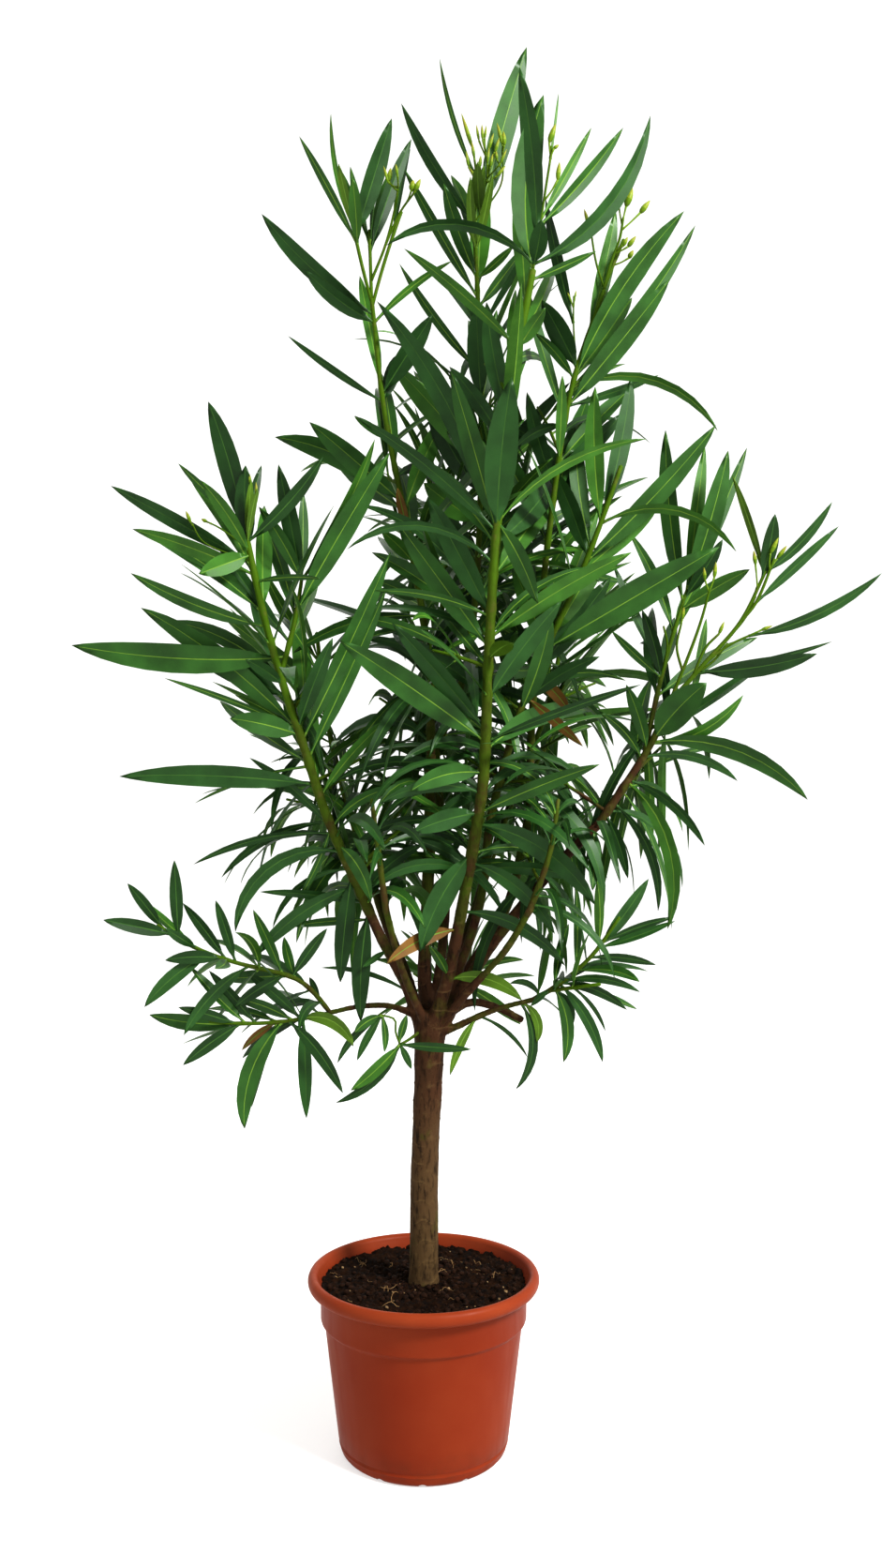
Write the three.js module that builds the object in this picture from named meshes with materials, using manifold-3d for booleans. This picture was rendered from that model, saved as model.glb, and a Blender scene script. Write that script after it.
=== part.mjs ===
// A potted oleander: a standard shrub on one stem, in a round nursery pot.
// Millimetres, +Z up. The origin is the middle of the pot's flat underside, and the front looks along -Y.
// Every limb is a tapering solid of its own. Every mass of foliage is one closed solid: a stem, its side
// shoots, whorls of three leaves and flower buds, all grown by one seeded rule.
import * as THREE from 'three';
import { mergeVertices } from 'three/addons/utils/BufferGeometryUtils.js';
import Module from 'manifold-3d';

const wasm = await Module();
wasm.setup();

// Pot
const POT_HEIGHT = 152;
const RIM_RADIUS = 100;
const LIP_HEIGHT = 12;
const LIP_WIDTH = 11.6;
const BAND_RADIUS = 89;
const BAND_FOOT = 113;
const STEP_IN = 3.2;
const BASE_RADIUS = 72;
const BASE_ROUND = 6;
const POT_WALL = 2.4;
const POT_FLOOR = 3;
const GROOVE_HEIGHT = 11;
const GROOVE_DEPTH = 0.7;
const NOTCHES = 12;
const NOTCH_WIDTH = 7;
const NOTCH_HEIGHT = 3;
const ROUND_SEGMENTS = 32;

// Soil
const SOIL_TOP = 137;
const SOIL_EDGE_DROP = 3;

// Clearances and crossings
const GAP = 0.3;
const PROBE_MARGIN = 0.35;
const SIMPLEST = 0.03;
const MERGED = 1e-3;

// Trunk: centre line, and radius at each height above the soil
const TRUNK_SIDES = 12;
const TRUNK_RINGS = [
  { z: SOIL_TOP + GAP, x: 0, radius: 15 },
  { z: SOIL_TOP + 5, x: 0, radius: 13.4 },
  { z: SOIL_TOP + 14, x: 0, radius: 12.8 },
  { z: 240, x: 1, radius: 11.9 },
  { z: 320, x: 4, radius: 12.3 },
  { z: 348, x: 5, radius: 13.6 },
  { z: 368, x: 6, radius: 15.6 },
  { z: 376, x: 6, radius: 12 },
];

// Boughs: each is one tapering limb that starts at the fork and ends where its foliage begins.
const BOUGHS = {
  middle_bough: {
    route: [[4, 8, 366], [0, 16, 403], [1, 22, 435], [4, 28, 513], [6, 28, 600]],
    foot: 6,
    tip: 4.6,
  },
  front_bough: {
    route: [[8, -7, 366], [21, -16, 408], [30, -26, 453], [38, -34, 497]],
    foot: 5.8,
    tip: 4.8,
  },
  left_bough: {
    route: [[-2, 0, 366], [-17, -5, 404], [-36, -10, 440], [-48, -14, 467]],
    foot: 5.6,
    tip: 4.6,
  },
  right_bough: {
    route: [[15, 0, 364], [39, -2, 404], [67, -4, 445], [111, -10, 499], [151, -15, 540]],
    foot: 5.8,
    tip: 4.2,
  },
  inner_bough: {
    route: [[12, 8, 366], [35, 22, 402], [61, 34, 440], [78, 36, 475], [93, 30, 542]],
    foot: 5.6,
    tip: 4.2,
  },
  centre_bough: {
    route: [[9, 9, 370], [15, 26, 418], [19, 38, 475], [15, 44, 542], [10, 44, 603]],
    foot: 4.8,
    tip: 4,
  },
  centre_right_bough: {
    route: [[12, 1, 370], [31, 4, 413], [49, 6, 470], [57, 6, 535], [64, 4, 568]],
    foot: 4.6,
    tip: 3.8,
  },
  back_left_bough: {
    route: [[-3, 8, 366], [-16, 40, 402], [-35, 72, 443], [-50, 92, 484]],
    foot: 5,
    tip: 4,
  },
  back_right_bough: {
    route: [[10, 9, 366], [24, 46, 404], [44, 80, 450], [60, 104, 497]],
    foot: 5,
    tip: 4,
  },
  back_bough: {
    route: [[5, 10, 366], [2, 48, 400], [4, 74, 470], [8, 80, 560]],
    foot: 4.6,
    tip: 3.8,
  },
  inner_left_bough: {
    route: [[2, -7, 367], [-12, -28, 400], [-22, -50, 435], [-30, -66, 470]],
    foot: 3.6,
    tip: 2.8,
  },
  inner_right_bough: {
    route: [[15, -7, 367], [40, -30, 400], [68, -52, 435], [88, -64, 470]],
    foot: 3.6,
    tip: 2.8,
  },
  low_left_bough: {
    route: [[-4, -3, 372], [-28, -9, 382], [-54, -16, 383], [-79, -24, 379]],
    foot: 2.8,
    tip: 2.3,
  },
  low_right_bough: {
    route: [[13, -4, 357], [28, -7, 364], [61, -10, 379], [94, -12, 388]],
    foot: 3,
    tip: 2.4,
  },
  low_back_bough: {
    route: [[5, 8, 356], [11, 40, 364], [22, 80, 369], [32, 112, 371]],
    foot: 2.8,
    tip: 2.3,
  },
  pruned_stub: {
    route: [[14, 4, 368], [39, 10, 382], [62, 11, 378], [87, 12, 366]],
    foot: 3.8,
    tip: 3.2,
  },
};
const BOUGH_SIDES = 6;
const LIMB_STEP = 42;

// Leaf habits. A pair gives the value at a shoot's foot and at its tip. Spread is the angle between leaf
// and stem, bow how far the leaf droops from root to tip, wide its width over its length. Below the
// share "weep" of a shoot the old leaves are narrow and hang. Whorls crowd towards a shoot's foot.
const HABITS = {
  leader: { step: 42, from: 0.03, spread: [72, 24], bow: [26, 4], length: [160, 125], wide: 0.14, weep: 0.2 },
  lush: { step: 40, from: 0.03, spread: [76, 24], bow: [20, 6], length: [150, 105], wide: 0.14, weep: 0.34 },
  tall: { step: 62, from: 0.04, spread: [66, 22], bow: [18, 4], length: [150, 118], wide: 0.145, weep: 0.12 },
  full: { step: 54, from: 0.04, spread: [78, 26], bow: [24, 6], length: [155, 115], wide: 0.145, weep: 0.35 },
  thicket: { step: 22, from: 0.05, spread: [80, 30], bow: [80, 60], length: [140, 115], wide: 0.12, weep: 1 },
  low: { step: 40, from: 0.1, spread: [70, 28], bow: [30, 4], length: [85, 62], wide: 0.16, weep: 0.1 },
  side: { step: 46, from: 0.35, spread: [55, 22], bow: [10, 4], length: [118, 95], wide: 0.15, weep: 0 },
  stalk: { step: 60, from: 0.8, spread: [30, 16], bow: [4, 0], length: [100, 85], wide: 0.14, weep: 0 },
};
const WEEPING = { bow: 88, shorter: 0.82, narrower: 0.8, rise: 12 };
const CROWDING = 1.3;
const JITTER = { turn: 14, spread: 8, bow: 10, length: 0.12, roll: 28 };
const WHORL = 3;
const FULL_TURN = 360;

// Foliage masses. Each grows on from its bough's tip along "route"; side shoots and the leading leaves
// that make the crown's outline are given by their place on the shoot ("at"), bearing (0 = +X, 90 = +Y),
// rise, length and bow. "bench" is the length of the flower stalks at the shoot's tip.
const MASSES = {
  left_crown: {
    bough: 'left_bough',
    route: [[-81, -27, 544], [-100, -34, 603], [-119, -42, 663], [-133, -48, 716], [-145, -53, 773]],
    foot: 4,
    tip: 2,
    habit: 'lush',
    seed: 3,
    bench: 24,
    shoots: [
      {
        at: 0.66,
        bearing: 35,
        rise: 70,
        length: 85,
        bow: -12,
        habit: 'side',
        leading: [{ at: 0.5, bearing: 10, rise: 60, length: 160, bow: 0, roll: -60 }],
      },
    ],
    leading: [
      { at: 0.68, bearing: 187, rise: 7, length: 175, bow: 6, roll: 60 },
      { at: 0.36, bearing: 184, rise: 8, length: 168, bow: 12, roll: 52 },
      { at: 0.5, bearing: 187, rise: 38, length: 172, bow: 2, roll: 40 },
      { at: 0.79, bearing: 172, rise: 22, length: 125, bow: 6, roll: 20 },
      { at: 0.96, bearing: 190, rise: 26, length: 132, bow: 4, roll: 25 },
      { at: 1, bearing: 195, rise: 74, length: 122, bow: -4, roll: 70 },
      { at: 0.98, bearing: 275, rise: 80, length: 85, bow: 0, roll: 5 },
      { at: 0.94, bearing: 185, rise: 44, length: 90, bow: 2, roll: 40 },
      { at: 0.98, bearing: 5, rise: 50, length: 90, bow: 0, roll: -45 },
      { at: 0.5, bearing: 15, rise: 60, length: 168, bow: -6, roll: -60 },
      { at: 0.2, bearing: 200, rise: 35, length: 150, bow: 115, roll: 30 },
      { at: 0.08, bearing: 225, rise: 20, length: 165, bow: 110, roll: 20 },
      { at: 0.12, bearing: 185, rise: 30, length: 150, bow: 130, roll: 30 },
      { at: 0.03, bearing: 270, rise: 0, length: 145, bow: 85, roll: 10 },
      { at: 0.02, bearing: 310, rise: 15, length: 140, bow: 115, roll: -10 },
    ],
  },
  front_crown: {
    bough: 'front_bough',
    route: [[50, -50, 576], [54, -62, 676], [60, -68, 774], [73, -62, 897], [91, -52, 998]],
    foot: 4.4,
    tip: 2.2,
    habit: 'leader',
    seed: 5,
    shoots: [],
    leading: [
      { at: 1, bearing: 60, rise: 84, length: 155, bow: -4, roll: -30 },
      { at: 0.99, bearing: 190, rise: 84, length: 160, bow: 0, roll: 75 },
      { at: 0.98, bearing: 25, rise: 50, length: 172, bow: -8, roll: -45 },
      { at: 0.97, bearing: 190, rise: 36, length: 142, bow: 52, roll: 10 },
      { at: 0.86, bearing: 200, rise: 46, length: 140, bow: 8, roll: 25 },
      { at: 0.57, bearing: 262, rise: 74, length: 122, bow: 0, roll: 0 },
      { at: 0.57, bearing: 170, rise: 63, length: 195, bow: 2, roll: 60 },
      { at: 0.57, bearing: 345, rise: 42, length: 152, bow: 20, roll: -30 },
      { at: 0.5, bearing: 190, rise: 28, length: 130, bow: 40, roll: 10 },
      { at: 0.39, bearing: 345, rise: 36, length: 150, bow: 10, roll: -45 },
      { at: 0.39, bearing: 195, rise: 56, length: 130, bow: 6, roll: 50 },
      { at: 0.24, bearing: 190, rise: 38, length: 142, bow: 10, roll: 55 },
      { at: 0.24, bearing: 350, rise: 24, length: 140, bow: 18, roll: -20 },
      { at: 0.1, bearing: 330, rise: -18, length: 150, bow: 32, roll: -55 },
      { at: 0.02, bearing: 320, rise: -20, length: 125, bow: 45, roll: -40 },
      { at: 0.05, bearing: 235, rise: -45, length: 125, bow: 22, roll: 20 },
    ],
  },
  right_crown: {
    bough: 'right_bough',
    route: [[191, -20, 602], [209, -28, 643], [237, -34, 675], [266, -38, 709], [287, -40, 751]],
    foot: 3.8,
    tip: 1.8,
    habit: 'lush',
    seed: 7,
    bench: 22,
    shoots: [
      {
        at: 0.3,
        bearing: 25,
        rise: 78,
        length: 155,
        bow: 10,
        habit: 'side',
        leading: [
          { at: 0.85, bearing: 190, rise: 84, length: 110, bow: 0, roll: 75 },
          { at: 0.95, bearing: 350, rise: 70, length: 95, bow: 2, roll: -60 },
          { at: 0.88, bearing: 350, rise: 62, length: 115, bow: 2, roll: -50 },
          { at: 0.8, bearing: 345, rise: 48, length: 85, bow: 6, roll: -40 },
        ],
      },
    ],
    leading: [
      { at: 0.92, bearing: 8, rise: 32, length: 100, bow: -12, roll: -30 },
      { at: 0.78, bearing: 355, rise: 20, length: 130, bow: -10, roll: -40 },
      { at: 0.58, bearing: 5, rise: 42, length: 95, bow: -4, roll: -50 },
      { at: 0.36, bearing: 330, rise: 15, length: 95, bow: -8, roll: -20 },
      { at: 0.33, bearing: 350, rise: -8, length: 150, bow: 34, roll: -45 },
      { at: 0.32, bearing: 275, rise: 52, length: 95, bow: -4, roll: -10 },
      { at: 0.24, bearing: 190, rise: 70, length: 75, bow: 0, roll: 70 },
      { at: 0.2, bearing: 345, rise: 30, length: 105, bow: 80, roll: -20 },
      { at: 0.06, bearing: 315, rise: 20, length: 140, bow: 110, roll: -30 },
      { at: 0.03, bearing: 285, rise: 10, length: 130, bow: 110, roll: -20 },
      { at: 0.02, bearing: 240, rise: -10, length: 125, bow: 80, roll: 20 },
    ],
  },
  left_tall: {
    bough: 'middle_bough',
    route: [[4, 26, 684], [-13, 16, 790], [-34, 6, 895], [-45, -4, 992]],
    foot: 3.8,
    tip: 1.8,
    habit: 'tall',
    seed: 11,
    shoots: [
      { at: 0.99, bearing: 205, rise: 72, length: 72, bow: -6, habit: 'stalk' },
      { at: 1, bearing: 110, rise: 84, length: 62, bow: 0, habit: 'stalk' },
      { at: 0.985, bearing: 15, rise: 76, length: 88, bow: 6, habit: 'stalk', bench: 26 },
    ],
    leading: [
      { at: 0.96, bearing: 187, rise: 44, length: 142, bow: 2, roll: 55 },
      { at: 0.8, bearing: 190, rise: 34, length: 105, bow: 8, roll: 5 },
      { at: 0.55, bearing: 190, rise: 45, length: 118, bow: 14, roll: 60 },
      { at: 0.53, bearing: 168, rise: 40, length: 138, bow: 34, roll: 60 },
      { at: 0.3, bearing: 195, rise: 5, length: 128, bow: 36, roll: 20 },
      { at: 0.82, bearing: 20, rise: 52, length: 95, bow: 0, roll: -60 },
    ],
  },
  centre_tall: {
    bough: 'centre_bough',
    route: [[36, 42, 673], [48, 44, 770], [51, 42, 921], [44, 36, 1092]],
    foot: 3.4,
    tip: 1.8,
    habit: 'tall',
    seed: 13,
    bench: 30,
    shoots: [],
    leading: [
      { at: 1, bearing: 30, rise: 74, length: 160, bow: -4, roll: -60 },
      { at: 0.99, bearing: 165, rise: 76, length: 116, bow: 0, roll: 0 },
      { at: 0.94, bearing: 195, rise: 58, length: 120, bow: 2, roll: 10 },
      { at: 0.83, bearing: 215, rise: 62, length: 112, bow: -6, roll: 40 },
      { at: 0.8, bearing: 175, rise: 52, length: 150, bow: -14, roll: 15 },
    ],
  },
  right_tall: {
    bough: 'inner_bough',
    route: [[96, 26, 636], [102, 10, 715], [108, -10, 790], [125, -24, 905], [153, -28, 990]],
    foot: 3.6,
    tip: 1.8,
    habit: 'tall',
    seed: 17,
    shoots: [{ at: 0.94, bearing: 15, rise: 72, length: 78, bow: 6, habit: 'stalk', bench: 28 }],
    leading: [
      { at: 0.83, bearing: 2, rise: 52, length: 170, bow: -8, roll: -65 },
      { at: 0.82, bearing: 345, rise: 46, length: 170, bow: -10, roll: -35 },
      { at: 0.79, bearing: 15, rise: 44, length: 135, bow: -4, roll: -65 },
      { at: 0.8, bearing: 12, rise: 24, length: 160, bow: 72, roll: -10 },
      { at: 0.9, bearing: 60, rise: 78, length: 112, bow: 0, roll: -30 },
      { at: 0.84, bearing: 170, rise: 62, length: 72, bow: 0, roll: 60 },
    ],
  },
  right_mid: {
    bough: 'centre_right_bough',
    route: [[84, 0, 637], [106, -8, 690], [139, -22, 764], [167, -30, 841]],
    foot: 3.4,
    tip: 1.9,
    habit: 'tall',
    seed: 19,
    shoots: [],
    leading: [
      { at: 0.9, bearing: 60, rise: 82, length: 116, bow: 4, roll: -30 },
      { at: 0.88, bearing: 110, rise: 84, length: 108, bow: 0, roll: 20 },
      { at: 0.86, bearing: 348, rise: 36, length: 128, bow: -2, roll: -60 },
      { at: 0.88, bearing: 340, rise: 22, length: 140, bow: 76, roll: -10 },
      { at: 0.49, bearing: 350, rise: 30, length: 168, bow: 6, roll: -70 },
      { at: 0.4, bearing: 20, rise: 34, length: 150, bow: 10, roll: -55 },
    ],
  },
  inner_left: {
    bough: 'inner_left_bough',
    route: [[-38, -78, 530], [-46, -84, 590]],
    foot: 2.6,
    tip: 1.8,
    habit: 'thicket',
    seed: 23,
    shoots: [],
    leading: [
      { at: 0.1, bearing: 250, rise: -20, length: 130, bow: 60, roll: 10 },
      { at: 0.06, bearing: 185, rise: -10, length: 120, bow: 70, roll: 20 },
    ],
  },
  inner_right: {
    bough: 'inner_right_bough',
    route: [[104, -74, 530], [114, -80, 590]],
    foot: 2.6,
    tip: 1.8,
    habit: 'thicket',
    seed: 29,
    shoots: [],
    leading: [
      { at: 0.08, bearing: 300, rise: -10, length: 140, bow: 60, roll: -20 },
      { at: 0.04, bearing: 230, rise: -30, length: 130, bow: 45, roll: 10 },
    ],
  },
  back_left: {
    bough: 'back_left_bough',
    route: [[-76, 118, 559], [-96, 134, 639], [-106, 142, 720]],
    foot: 3.4,
    tip: 1.9,
    habit: 'full',
    seed: 31,
    shoots: [{ at: 0.3, bearing: 165, rise: 48, length: 90, bow: -16, habit: 'side' }],
    leading: [],
  },
  back_right: {
    bough: 'back_right_bough',
    route: [[88, 130, 570], [120, 152, 650], [138, 160, 735]],
    foot: 3.4,
    tip: 1.9,
    habit: 'full',
    seed: 37,
    shoots: [{ at: 0.3, bearing: 25, rise: 48, length: 100, bow: -16, habit: 'side' }],
    leading: [],
  },
  back_centre: {
    bough: 'back_bough',
    route: [[12, 104, 690], [20, 126, 783], [28, 136, 890]],
    foot: 3.4,
    tip: 1.8,
    habit: 'full',
    seed: 41,
    shoots: [],
    leading: [],
  },
  low_left_spray: {
    bough: 'low_left_bough',
    route: [[-96, -28, 400], [-115, -32, 412], [-158, -40, 424], [-192, -46, 438], [-220, -50, 456]],
    foot: 2.1,
    tip: 1.4,
    habit: 'low',
    seed: 43,
    shoots: [
      {
        at: 0.02,
        bearing: 188,
        rise: -14,
        length: 104,
        bow: -22,
        habit: 'low',
        leading: [
          { at: 0.2, bearing: 250, rise: -68, length: 88, bow: 14, roll: 0 },
          { at: 0.4, bearing: 215, rise: -40, length: 104, bow: 40, roll: 20 },
          { at: 0.38, bearing: 310, rise: -45, length: 80, bow: 10, roll: -30 },
        ],
      },
    ],
    leading: [
      { at: 0.92, bearing: 182, rise: 14, length: 62, bow: 8, roll: 55 },
      { at: 0.9, bearing: 195, rise: 86, length: 62, bow: 0, roll: 60 },
      { at: 0.72, bearing: 195, rise: -30, length: 74, bow: 24, roll: 20 },
      { at: 0.5, bearing: 195, rise: -10, length: 92, bow: 60, roll: 20 },
    ],
  },
  low_right_spray: {
    bough: 'low_right_bough',
    route: [[119, -17, 404], [145, -22, 429], [166, -26, 460]],
    foot: 2.2,
    tip: 1.4,
    habit: 'low',
    seed: 47,
    shoots: [{ at: 0.2, bearing: 340, rise: 10, length: 45, bow: 0, habit: 'low' }],
    leading: [
      { at: 0.78, bearing: 15, rise: 54, length: 66, bow: 0, roll: -60 },
      { at: 0.55, bearing: 330, rise: 2, length: 72, bow: 12, roll: -10 },
      { at: 0.24, bearing: 335, rise: -30, length: 92, bow: 50, roll: -20 },
      { at: 0.12, bearing: 320, rise: -45, length: 78, bow: 40, roll: -30 },
      { at: 0.05, bearing: 250, rise: -30, length: 90, bow: 60, roll: 0 },
    ],
  },
  low_back_spray: {
    bough: 'low_back_bough',
    route: [[38, 150, 376], [43, 190, 388], [46, 222, 408]],
    foot: 2.1,
    tip: 1.4,
    habit: 'low',
    seed: 53,
    shoots: [{ at: 0.05, bearing: 130, rise: 5, length: 70, bow: -14, habit: 'low' }],
    leading: [],
  },
};

// The small sprig that hangs from the trunk just under the fork
const SPRIG = {
  route: [[-3, -8, 357], [-14, -15, 351], [-21, -19, 343]],
  foot: 1.6,
  tip: 1.3,
  leaves: [
    { at: 1, bearing: 345, rise: 2, length: 66, bow: 6, roll: -30 },
    { at: 0.96, bearing: 195, rise: -35, length: 60, bow: 8, roll: 40 },
    { at: 0.9, bearing: 230, rise: -30, length: 56, bow: 40, roll: 10 },
    { at: 0.6, bearing: 210, rise: 50, length: 34, bow: 0, roll: 30 },
  ],
};

// Leaf and bud sizes
const BENT_RINGS = [{ along: 0.36, half: 0.97, deep: 1 }, { along: 0.72, half: 0.7, deep: 0.8 }];
const STRAIGHT_RINGS = [{ along: 0.46, half: 1, deep: 1 }];
const STRAIGHT_BOW = 32;
const BARE_SHARE = 0.2;
const BARE_HALF = 0.3;
const LEAF_THICK = 0.012;
const LEAF_THICK_LEAST = 1.6;
const PETIOLE_THICK = 1.6;
const ROOT_SINK = 3;
const ROOT_OFFSET = 0.25;
const LEAF_WIDTH_MOST = 23;
const STEEPEST = 88;
const BUDS = 5;
const BUD_LENGTH = 12;
const BUD_RADIUS = 2.4;
const STALK_RADIUS = 1;
const NUDGES = [0, 22, -22, 44, -44];

const radians = THREE.MathUtils.degToRad;
const degrees = THREE.MathUtils.radToDeg;
const blend = (pair, share) => pair[0] + (pair[1] - pair[0]) * share;
const UP = new THREE.Vector3(0, 0, 1);

// Repeatable dice, the same on every machine
class Dice {
  constructor(seed) {
    this.state = seed * 7919;
  }

  throw() {
    this.state = (this.state * 48271) % 2147483647;
    return this.state / 2147483647;
  }

  about(amount) {
    return (this.throw() * 2 - 1) * amount;
  }
}

// An arc that leaves "start" on a bearing at a rise, and droops evenly by "bow" over its length
class Arc {
  constructor(start, { bearing, rise, length, bow }) {
    this.start = start;
    this.bearing = radians(bearing);
    this.rise = radians(rise);
    this.length = length;
    this.bow = radians(Math.min(bow, rise + STEEPEST));
  }

  direction(share) {
    const rise = this.rise - this.bow * share;
    const level = Math.cos(rise);
    return new THREE.Vector3(level * Math.cos(this.bearing), level * Math.sin(this.bearing), Math.sin(rise));
  }

  point(share) {
    const turned = this.bow * share;
    let reach = this.length * share * Math.cos(this.rise);
    let climb = this.length * share * Math.sin(this.rise);
    if (Math.abs(this.bow) > 1e-3) {
      reach = (this.length / this.bow) * (Math.sin(this.rise) - Math.sin(this.rise - turned));
      climb = (this.length / this.bow) * (Math.cos(this.rise - turned) - Math.cos(this.rise));
    }
    const sideways = new THREE.Vector3(Math.cos(this.bearing), Math.sin(this.bearing), 0);
    return this.start.clone().addScaledVector(sideways, reach).addScaledVector(UP, climb);
  }

  // The level direction across the arc
  across() {
    return new THREE.Vector3(Math.sin(this.bearing), -Math.cos(this.bearing), 0);
  }
}

// A tapering stem along a row of points
class Stem {
  constructor(points, foot, tip) {
    this.points = points;
    this.foot = foot;
    this.tip = tip;
    this.marks = [0];
    for (let i = 1; i < points.length; i += 1) {
      this.marks.push(this.marks[i - 1] + points[i].distanceTo(points[i - 1]));
    }
    this.length = this.marks[this.marks.length - 1];
  }

  reach(share) {
    const mark = Math.min(Math.max(share, 0), 1) * this.length;
    let i = 1;
    while (i < this.marks.length - 1 && this.marks[i] < mark) i += 1;
    return { i, within: (mark - this.marks[i - 1]) / (this.marks[i] - this.marks[i - 1]) };
  }

  point(share) {
    const { i, within } = this.reach(share);
    return this.points[i - 1].clone().lerp(this.points[i], within);
  }

  direction(share) {
    const { i } = this.reach(share);
    return this.points[i].clone().sub(this.points[i - 1]).normalize();
  }

  radius(share) {
    return blend([this.foot, this.tip], share);
  }
}

function smoothPoints(route) {
  const corners = route.map((corner) => new THREE.Vector3(...corner));
  const curve = new THREE.CatmullRomCurve3(corners, false, 'catmullrom', 0.5);
  return curve.getSpacedPoints(Math.ceil(curve.getLength() / LIMB_STEP));
}

function arcPoints(arc, steps) {
  return Array.from({ length: steps + 1 }, (_, i) => arc.point(i / steps));
}

// A closed body through a row of rings. A ring of one point is a tip. Points that fall together become
// one, so a ring may close to a line.
function loft(rings) {
  const positions = [];
  const known = new Map();
  const corners = rings.map((ring) => ring.map((p) => {
    const key = p.toArray().join(' ');
    if (!known.has(key)) {
      known.set(key, positions.length / 3);
      positions.push(p.x, p.y, p.z);
    }
    return known.get(key);
  }));
  const faces = [];
  const face = (a, b, c) => {
    if (a !== b && b !== c && c !== a) faces.push(a, b, c);
  };
  for (let i = 1; i < corners.length; i += 1) {
    const low = corners[i - 1];
    const high = corners[i];
    const sides = Math.max(low.length, high.length);
    for (let k = 0; k < sides; k += 1) {
      const next = (k + 1) % sides;
      face(low[k % low.length], high[next % high.length], high[k % high.length]);
      face(low[k % low.length], low[next % low.length], high[next % high.length]);
    }
  }
  const first = corners[0];
  const last = corners[corners.length - 1];
  for (let k = 1; k < first.length - 1; k += 1) face(first[0], first[k + 1], first[k]);
  for (let k = 1; k < last.length - 1; k += 1) face(last[0], last[k], last[k + 1]);
  return solidFrom(new Float32Array(positions), new Uint32Array(faces));
}

function solidFrom(vertProperties, triVerts) {
  return new wasm.Manifold(new wasm.Mesh({ numProp: 3, vertProperties, triVerts }));
}

function solidOf(geometry) {
  return solidFrom(geometry.getAttribute('position').array, new Uint32Array(geometry.index.array));
}

function geometryOf(solid) {
  const mesh = solid.getMesh();
  const geometry = new THREE.BufferGeometry();
  geometry.setAttribute('position', new THREE.BufferAttribute(mesh.vertProperties, 3));
  geometry.setIndex(new THREE.BufferAttribute(mesh.triVerts, 1));
  const faceted = geometry.toNonIndexed();
  faceted.computeVertexNormals();
  return faceted;
}

// A tapering tube with flat ends; "swell" makes it that much fatter and longer all round
function tube(stem, sides, swell = 0) {
  const last = stem.points.length - 1;
  const first = stem.direction(0);
  let across = new THREE.Vector3(first.y, -first.x, 0);
  if (across.length() < 0.1) across.set(1, 0, 0);
  const rings = stem.points.map((point, i) => {
    const before = stem.points[Math.max(i - 1, 0)];
    const after = stem.points[Math.min(i + 1, last)];
    const along = after.clone().sub(before).normalize();
    across = across.clone().addScaledVector(along, -across.dot(along)).normalize();
    const beside = along.clone().cross(across);
    const middle = point.clone();
    if (i === 0) middle.addScaledVector(along, -swell);
    if (i === last) middle.addScaledVector(along, swell);
    const radius = stem.radius(stem.marks[i] / stem.length) + swell;
    return Array.from({ length: sides }, (_, k) => {
      const angle = radians((FULL_TURN * k) / sides);
      return middle.clone()
        .addScaledVector(across, radius * Math.cos(angle))
        .addScaledVector(beside, radius * Math.sin(angle));
    });
  });
  return loft(rings);
}

// A leaf: a blade with a flat upper face and a shallow keel, from an upright root line inside the stem
// to a sharp tip. "bare" leaves off the petiole.
function leafSolid(leaf, swell = 0, bare = false) {
  const arc = new Arc(leaf.root, leaf);
  const across = arc.across();
  const roll = radians(leaf.roll);
  const half = leaf.width / 2;
  const thick = Math.max(LEAF_THICK_LEAST, LEAF_THICK * leaf.length);
  const root = bare
    ? { along: BARE_SHARE, half: BARE_HALF, deep: 0.6 }
    : { along: 0, half: -swell / half, deep: PETIOLE_THICK / thick };
  const sections = [root, ...(Math.abs(leaf.bow) > STRAIGHT_BOW ? BENT_RINGS : STRAIGHT_RINGS)];
  const rings = sections.map((section) => {
    const along = arc.direction(section.along);
    const over = across.clone().cross(along);
    const side = across.clone().multiplyScalar(Math.cos(roll)).addScaledVector(over, Math.sin(roll));
    const face = over.multiplyScalar(Math.cos(roll)).addScaledVector(across, -Math.sin(roll));
    const reach = section.half * half + swell;
    const deep = section.deep * thick + swell;
    const middle = arc.point(section.along).addScaledVector(face, swell);
    return [
      middle.clone().addScaledVector(side, reach),
      middle.clone().addScaledVector(face, -deep - swell),
      middle.clone().addScaledVector(side, -reach),
    ];
  });
  rings.push([arc.point(1).addScaledVector(arc.direction(1), swell * 4)]);
  return loft(rings);
}

// A flower bud on its stalk: the stalk has three sides, the bud is a spindle of three
function budSolids(bud) {
  const arc = new Arc(bud.root, bud);
  const stalk = new Stem(arcPoints(arc, 1), STALK_RADIUS, STALK_RADIUS);
  const along = arc.direction(1);
  const foot = arc.point(1).addScaledVector(along, -STALK_RADIUS * 2);
  const across = arc.across();
  const over = across.clone().cross(along);
  const belly = [0, 1, 2].map((k) => {
    const angle = radians(-k * 120);
    return foot.clone()
      .addScaledVector(along, BUD_LENGTH * 0.45)
      .addScaledVector(across, BUD_RADIUS * Math.cos(angle))
      .addScaledVector(over, BUD_RADIUS * Math.sin(angle));
  });
  const point = foot.clone().addScaledVector(along, BUD_LENGTH);
  return [tube(stalk, 3), loft([[foot], belly, [point]])];
}

function leafWidth(length, wide) {
  return Math.min(length * wide, LEAF_WIDTH_MOST);
}

// Where a leaf is rooted: inside the stem, a little to its own side of the middle and short of the cut end
function rootPoint(stem, at, outward) {
  const share = Math.min(at, 1 - ROOT_SINK / stem.length);
  return stem.point(share).addScaledVector(outward, ROOT_OFFSET * stem.radius(share));
}

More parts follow.
